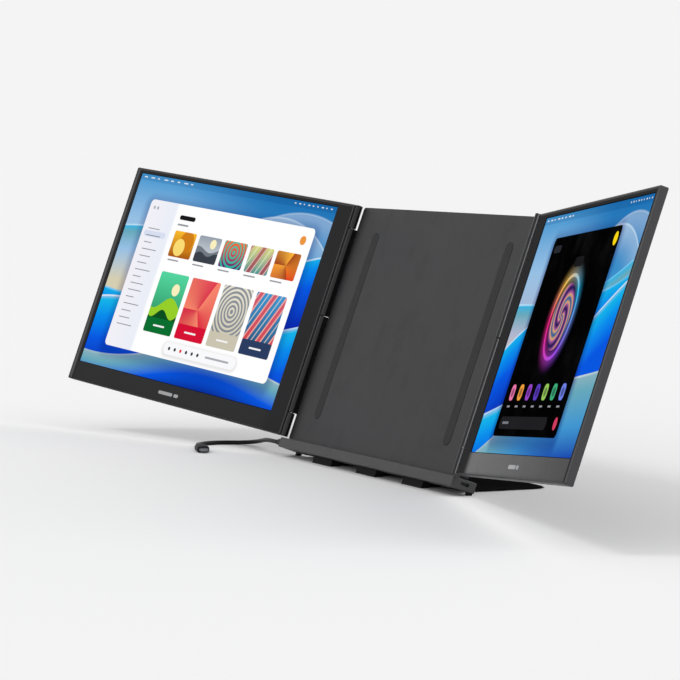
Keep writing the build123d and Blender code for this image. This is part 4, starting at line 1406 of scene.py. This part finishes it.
def library_window(place, colour):
    """The pale window on the left display."""
    middle, size = (166.5, 100.0), (270.0, 154.0)
    side_tint, soft_tint = paint(243, 240, 247), paint(234, 238, 247)
    along = share_along(place.xyz()[0], middle[0] - size[0] / 2, size[0])
    fill = along.ramp((0.0, side_tint), (0.165, soft_tint), (0.18, WHITE))
    colour, (left, right, bottom, top) = sheet(place, colour, middle, size, 0.4, fill)
    for index in range(2):
        stud = disc_mask(place, (left + 8.0 + index * 6.0, top - 8.0), 1.7)
        colour = stud.mix(colour, paint(176, 180, 190))
    colour = bars(place, colour, (
        ((left + 22.5, top - 35.0), (37.0, 6.0), paint(214, 222, 240)),  # the chosen line of the column
        ((left + 68.0, top - 13.0), (26.0, 4.4), INK),  # the heading
        ((left + 64.0, top - 20.5), (18.0, 1.6), GREY),  # what stands under it
    ))
    column = (left + 22.5, middle[1] - 4.0)
    colour = lines_column(place, colour, column, (27.0, 104.0), 7.2, paint(104, 106, 118))
    colour = disc_mask(place, (right - 14.0, top - 13.0), 4.4).mix(colour, paint(236, 150, 62))
    small_size, tall_size = (36.5, 26.5), (46.5, 62.0)
    small_first, tall_first = (left + 73.5, top - 40.0), (left + 78.5, bottom + 53.5)
    colour = row_of_tiles(place, colour, small_tiles, small_first, 42.3, small_size, 0.0)
    colour = row_of_tiles(place, colour, tall_tiles, tall_first, 53.0, tall_size, 15.0)
    return button_bar(place, colour, left, bottom)


print("tiles", len(small_tiles) + len(tall_tiles))

# %% [markdown]
# ## The right display's window
# The right display shows a tall dark window: a swirl in a glowing ring, a row of coloured pads and an
# entry bar. A glow could come from the renderer's own bloom, which belongs to the picture and not to
# the part. Here it is a halo, squared so that it falls off softly, in the same colours as its ring.

# %% Studio window
neon_stops = (
    (0.0, paint(246, 40, 128)), (0.35, paint(150, 80, 236)), (0.6, paint(40, 190, 240)),
    (0.85, paint(240, 190, 80)), (1.0, paint(246, 40, 128)),
)
swirl_stops = (
    (0.0, paint(40, 24, 86)), (0.45, paint(172, 96, 160)),
    (0.75, paint(222, 168, 96)), (1.0, paint(52, 96, 150)),
)
pad_colours = (
    paint(236, 120, 170), paint(240, 160, 60), paint(150, 70, 200), paint(90, 60, 190),
    paint(150, 200, 90), paint(60, 170, 120), paint(110, 130, 230),
)
ring_radius, ring_half, core_radius = 34.0, 1.1, 27.0
halo_width, halo_strength = 16.0, 0.35
swirl_twist, swirl_arms = 0.34, 2


def glowing_ring(place, colour, hub):
    """A neon ring with its halo, round a disc with a two-armed swirl."""
    distance, turn = distance_from(place, hub), bearing(place, hub)
    glow = turn.ramp(*neon_stops)
    from_ring = abs(distance - ring_radius)
    halo = 1 - from_ring.step(0.0, halo_width)
    colour = (halo * halo * halo_strength).mix(colour, glow)
    colour = (1 - from_ring.step(ring_half, ring_half + 0.8)).mix(colour, glow)
    swirl = (distance * swirl_twist + turn * (swirl_arms * full_turn)).sine() * 0.5 + 0.5
    return (1 - distance.step(core_radius, core_radius + 0.6)).mix(colour, swirl.ramp(*swirl_stops))


def row_of_pads(place, colour, first, pitch=26.3, size=13.0):
    """Round-cornered coloured pads with a dark dot, and a short bar under each."""
    for index, tone in enumerate(pad_colours):
        pad = (first[0] + index * pitch, first[1])
        colour = box_mask(place, pad, (size, size), 4.5).mix(colour, tone)
        colour = (disc_mask(place, pad, 3.8) * 0.6).mix(colour, paint(30, 16, 50))
        colour = bar(place, colour, (pad[0], pad[1] - 11.5), (9.0, 1.3), paint(146, 146, 152))
    return colour


def studio_window(place, colour):
    """The tall dark window on the right display."""
    middle, size = (156.0, 98.0), (202.0, 166.0)
    colour, (left, right, bottom, top) = sheet(place, colour, middle, size, 0.5, BLACK)
    colour = glowing_ring(place, colour, (middle[0], middle[1] + 14.0))
    colour = row_of_pads(place, colour, (left + 22.0, bottom + 36.0))
    colour = bars(place, colour, (
        ((left + 86.0, bottom + 11.0), (150.0, 10.0), paint(30, 30, 33)),  # the entry bar
        ((left + 30.0, bottom + 11.0), (20.0, 1.8), paint(120, 122, 130)),  # what stands in it
        ((left + 18.0, top - 10.0), (22.0, 6.0), paint(38, 40, 46)),  # a tag in the corner
        ((middle[0], top - 24.0), (26.0, 8.0), paint(24, 24, 27)),  # a tag over the ring
    ))
    colour = disc_mask(place, (right - 14.0, bottom + 11.0), 5.0).mix(colour, paint(206, 60, 96))
    return disc_mask(place, (right - 11.0, top - 10.0), 5.4).mix(colour, paint(250, 216, 20))


print("pads", len(pad_colours))

# %% [markdown]
# ## Display glass
# The glass is black and nearly without mirror, as coated panels are, and only the picture shines; a
# thin coat, thicker where fingers have been, keeps a trace of gloss. The picture ends a little inside
# the bezel, where a real panel has its black border. Its emission is at strength 1, so a colour leaves
# the screen as it was mixed.

# %% Display glass
dark_border, smudge_coat = 0.7, 0.02


def display_glass(side, bands, window):
    """The panel's material, with its picture."""
    material, tree, shader = start_material(f"{side}_display", 0.3, specular=0.0, coat_roughness=0.25)
    place = flat(display_place(tree, side))
    colour = top_strip(place, window(place, wallpaper(place, bands)))
    lit_size = (lit_width - 2 * dark_border, lit_height - 2 * dark_border)
    lit = box_mask(place, (lit_width / 2, lit_height / 2), lit_size)
    smudges = noise(tree, rest_place(tree), 26.0, detail=5.0, roughness=0.6).step(0.4, 0.8)
    shader.inputs["Base Color"].default_value = paint(3, 3, 4)
    shader.inputs["Emission Strength"].default_value = 1.0
    feed(shader, Emission_Color=lit.mix(BLACK, colour), Coat_Weight=smudges * smudge_coat)
    return material


displays = {
    "left_lcd_panel": display_glass("left", left_bands, library_window),
    "right_lcd_panel": display_glass("right", right_bands, studio_window),
}
print("display nodes", [len(material.node_tree.nodes) for material in displays.values()])

# %% [markdown]
# ## Give every solid its finish
# A chain of tests could pick each solid's finish, but a table of finishes and their solids can be
# read. The two sides share their names, so a side is dropped and what is left is looked up. Shells and
# bezels have a finish of their own for each side, because it is drawn on that side's display.

# %% Dress the solids
finishes = {**plastics, **rubbers, **metals, **inner}
finish_of = {
    "shell_plastic": ("rear_shell",),
    "bezel_plastic": ("bezel",),
    "front_plastic": ("front_cover",),
    "cover_plastic": ("rear_cover",),
    "rail_plastic": ("base_rail", "rail_cover", "end_block"),
    "button_plastic": ("power_button", "menu_button"),
    "plug_plastic": ("cable_plug", "free_plug"),
    "chip_plastic": ("driver_chips", "hub_chips"),
    "silicone": ("bumpers",),
    "foot_rubber": ("rubber_feet", "kickstand_foot"),
    "cable_jacket": ("cable",),
    "hinge_steel": ("hinge_leaves", "lower_spine", "upper_spine"),
    "pin_steel": ("hinge_pins", "kickstand_pins"),
    "screw_steel": ("cover_screws", "spine_screws", "rail_screws", "leaf_screws", "shell_screws"),
    "frame_steel": ("stiffener_frame",),
    "plug_steel": ("cable_plug_shell", "free_plug_shell"),
    "port_steel": ("port",),
    "stand_steel": ("kickstand",),
    "circuit_board": ("hub_board", "driver_board", "key_board", "led_strip"),
    "ribbon_film": ("ribbon",),
    "light_guide": ("backlight",),
}
finish_by_node = {node: finish for finish, names in finish_of.items() for node in names}


def finish_for(node):
    """The material of a solid, by its name."""
    if node in displays:
        return displays[node]
    first = node.split("_")[0]
    side = first if first in sides else ""
    finish = finish_by_node[node.removeprefix(f"{side}_")]
    return finishes.get(f"{side}_{finish}") or finishes[finish]


def coat(piece, material):
    """Puts a material on every slot of a piece."""
    if not piece.material_slots:
        piece.data.materials.append(material)
    for held in piece.material_slots:
        held.material = material


for name, node in nodes.items():
    coat(node, finish_for(name))
coat(cable, rubbers["cable_jacket"])
for moulding in (port_plug, free_plug):
    coat(moulding, plastics["plug_plastic"])
for strip in strips:
    coat(strip, rubbers["silicone"])
for piece in contacts:
    coat(piece, metals["contact_gilt"])
print("dressed", len(nodes), "solids")

# %% [markdown]
# ## Floor, backdrop and light
# The floor and the world behind it share one pale grey, so the horizon doesn't show. Lamps near the
# part would light the floor in patches, so the light comes from an even world and two very broad suns,
# and their shares on a level floor add up to 1: then the floor shines exactly as the backdrop does.

# %% Stage
backdrop_level = 0.905
backdrop_grey = (backdrop_level, backdrop_level, backdrop_level, 1.0)
floor_radius, floor_corners = 30.0, 96
# Each sun: its name, where it stands seen from the part, its width in degrees and its share of light.
suns = (
    ("key_sun", (-1.2, -1.6, 2.4), 16.0, 0.13),
    ("rim_sun", (1.8, 1.4, 1.6), 50.0, 0.17),
)
world_share = 1.0 - sum(share for *_, share in suns)


def make_floor():
    """A wide pale disc."""
    angles = [full_turn * corner / floor_corners for corner in range(floor_corners)]
    rim = [(floor_radius * math.cos(angle), floor_radius * math.sin(angle), 0) for angle in angles]
    floor = piece_from("floor", rim, [tuple(range(floor_corners))])
    material, _, shader = start_material("floor_paper", 1.0, specular=0.0)
    shader.inputs["Base Color"].default_value = backdrop_grey
    coat(floor, material)


def make_world():
    """Even light all round, and the backdrop's grey where the camera or a reflection sees it."""
    world = bpy.data.worlds.new("studio")
    world.use_nodes = True
    bpy.context.scene.world = world
    tree = Wire(world.node_tree)
    output = world.node_tree.nodes["World Output"]
    even = tree.node("ShaderNodeBackground", {}, {"Color": WHITE, "Strength": world_share})
    seen = tree.node("ShaderNodeBackground", {}, {"Color": backdrop_grey, "Strength": 1.0})
    camera, glossy, transmitted = (
        tree.node("ShaderNodeLightPath", {}, {}, name)
        for name in ("Is Camera Ray", "Is Glossy Ray", "Is Transmission Ray")
    )
    shown = camera.larger(glossy).larger(transmitted)
    mixed = tree.node("ShaderNodeMixShader", {}, {0: shown, 1: even, 2: seen})
    world.node_tree.links.new(mixed.socket, output.inputs["Surface"])


def broad_sun(name, stand, width, share):
    """A sun of this angular width that gives a level floor its share of the light."""
    sun = bpy.data.objects.new(name, bpy.data.lights.new(name, "SUN"))
    stand = Vector(stand).normalized()
    sun.data.angle = math.radians(width)
    sun.data.energy = math.pi * share / stand.z
    sun.rotation_mode = "QUATERNION"
    sun.rotation_quaternion = stand.to_track_quat("Z", "Y")
    bpy.context.scene.collection.objects.link(sun)


make_floor()
make_world()
for sun in suns:
    broad_sun(*sun)
bpy.context.scene.view_settings.view_transform = "Standard"
print("backdrop", backdrop_level, "world's share", round(world_share, 2))

# %% [markdown]
# ## The end
# The dressed part may not outgrow the solids.
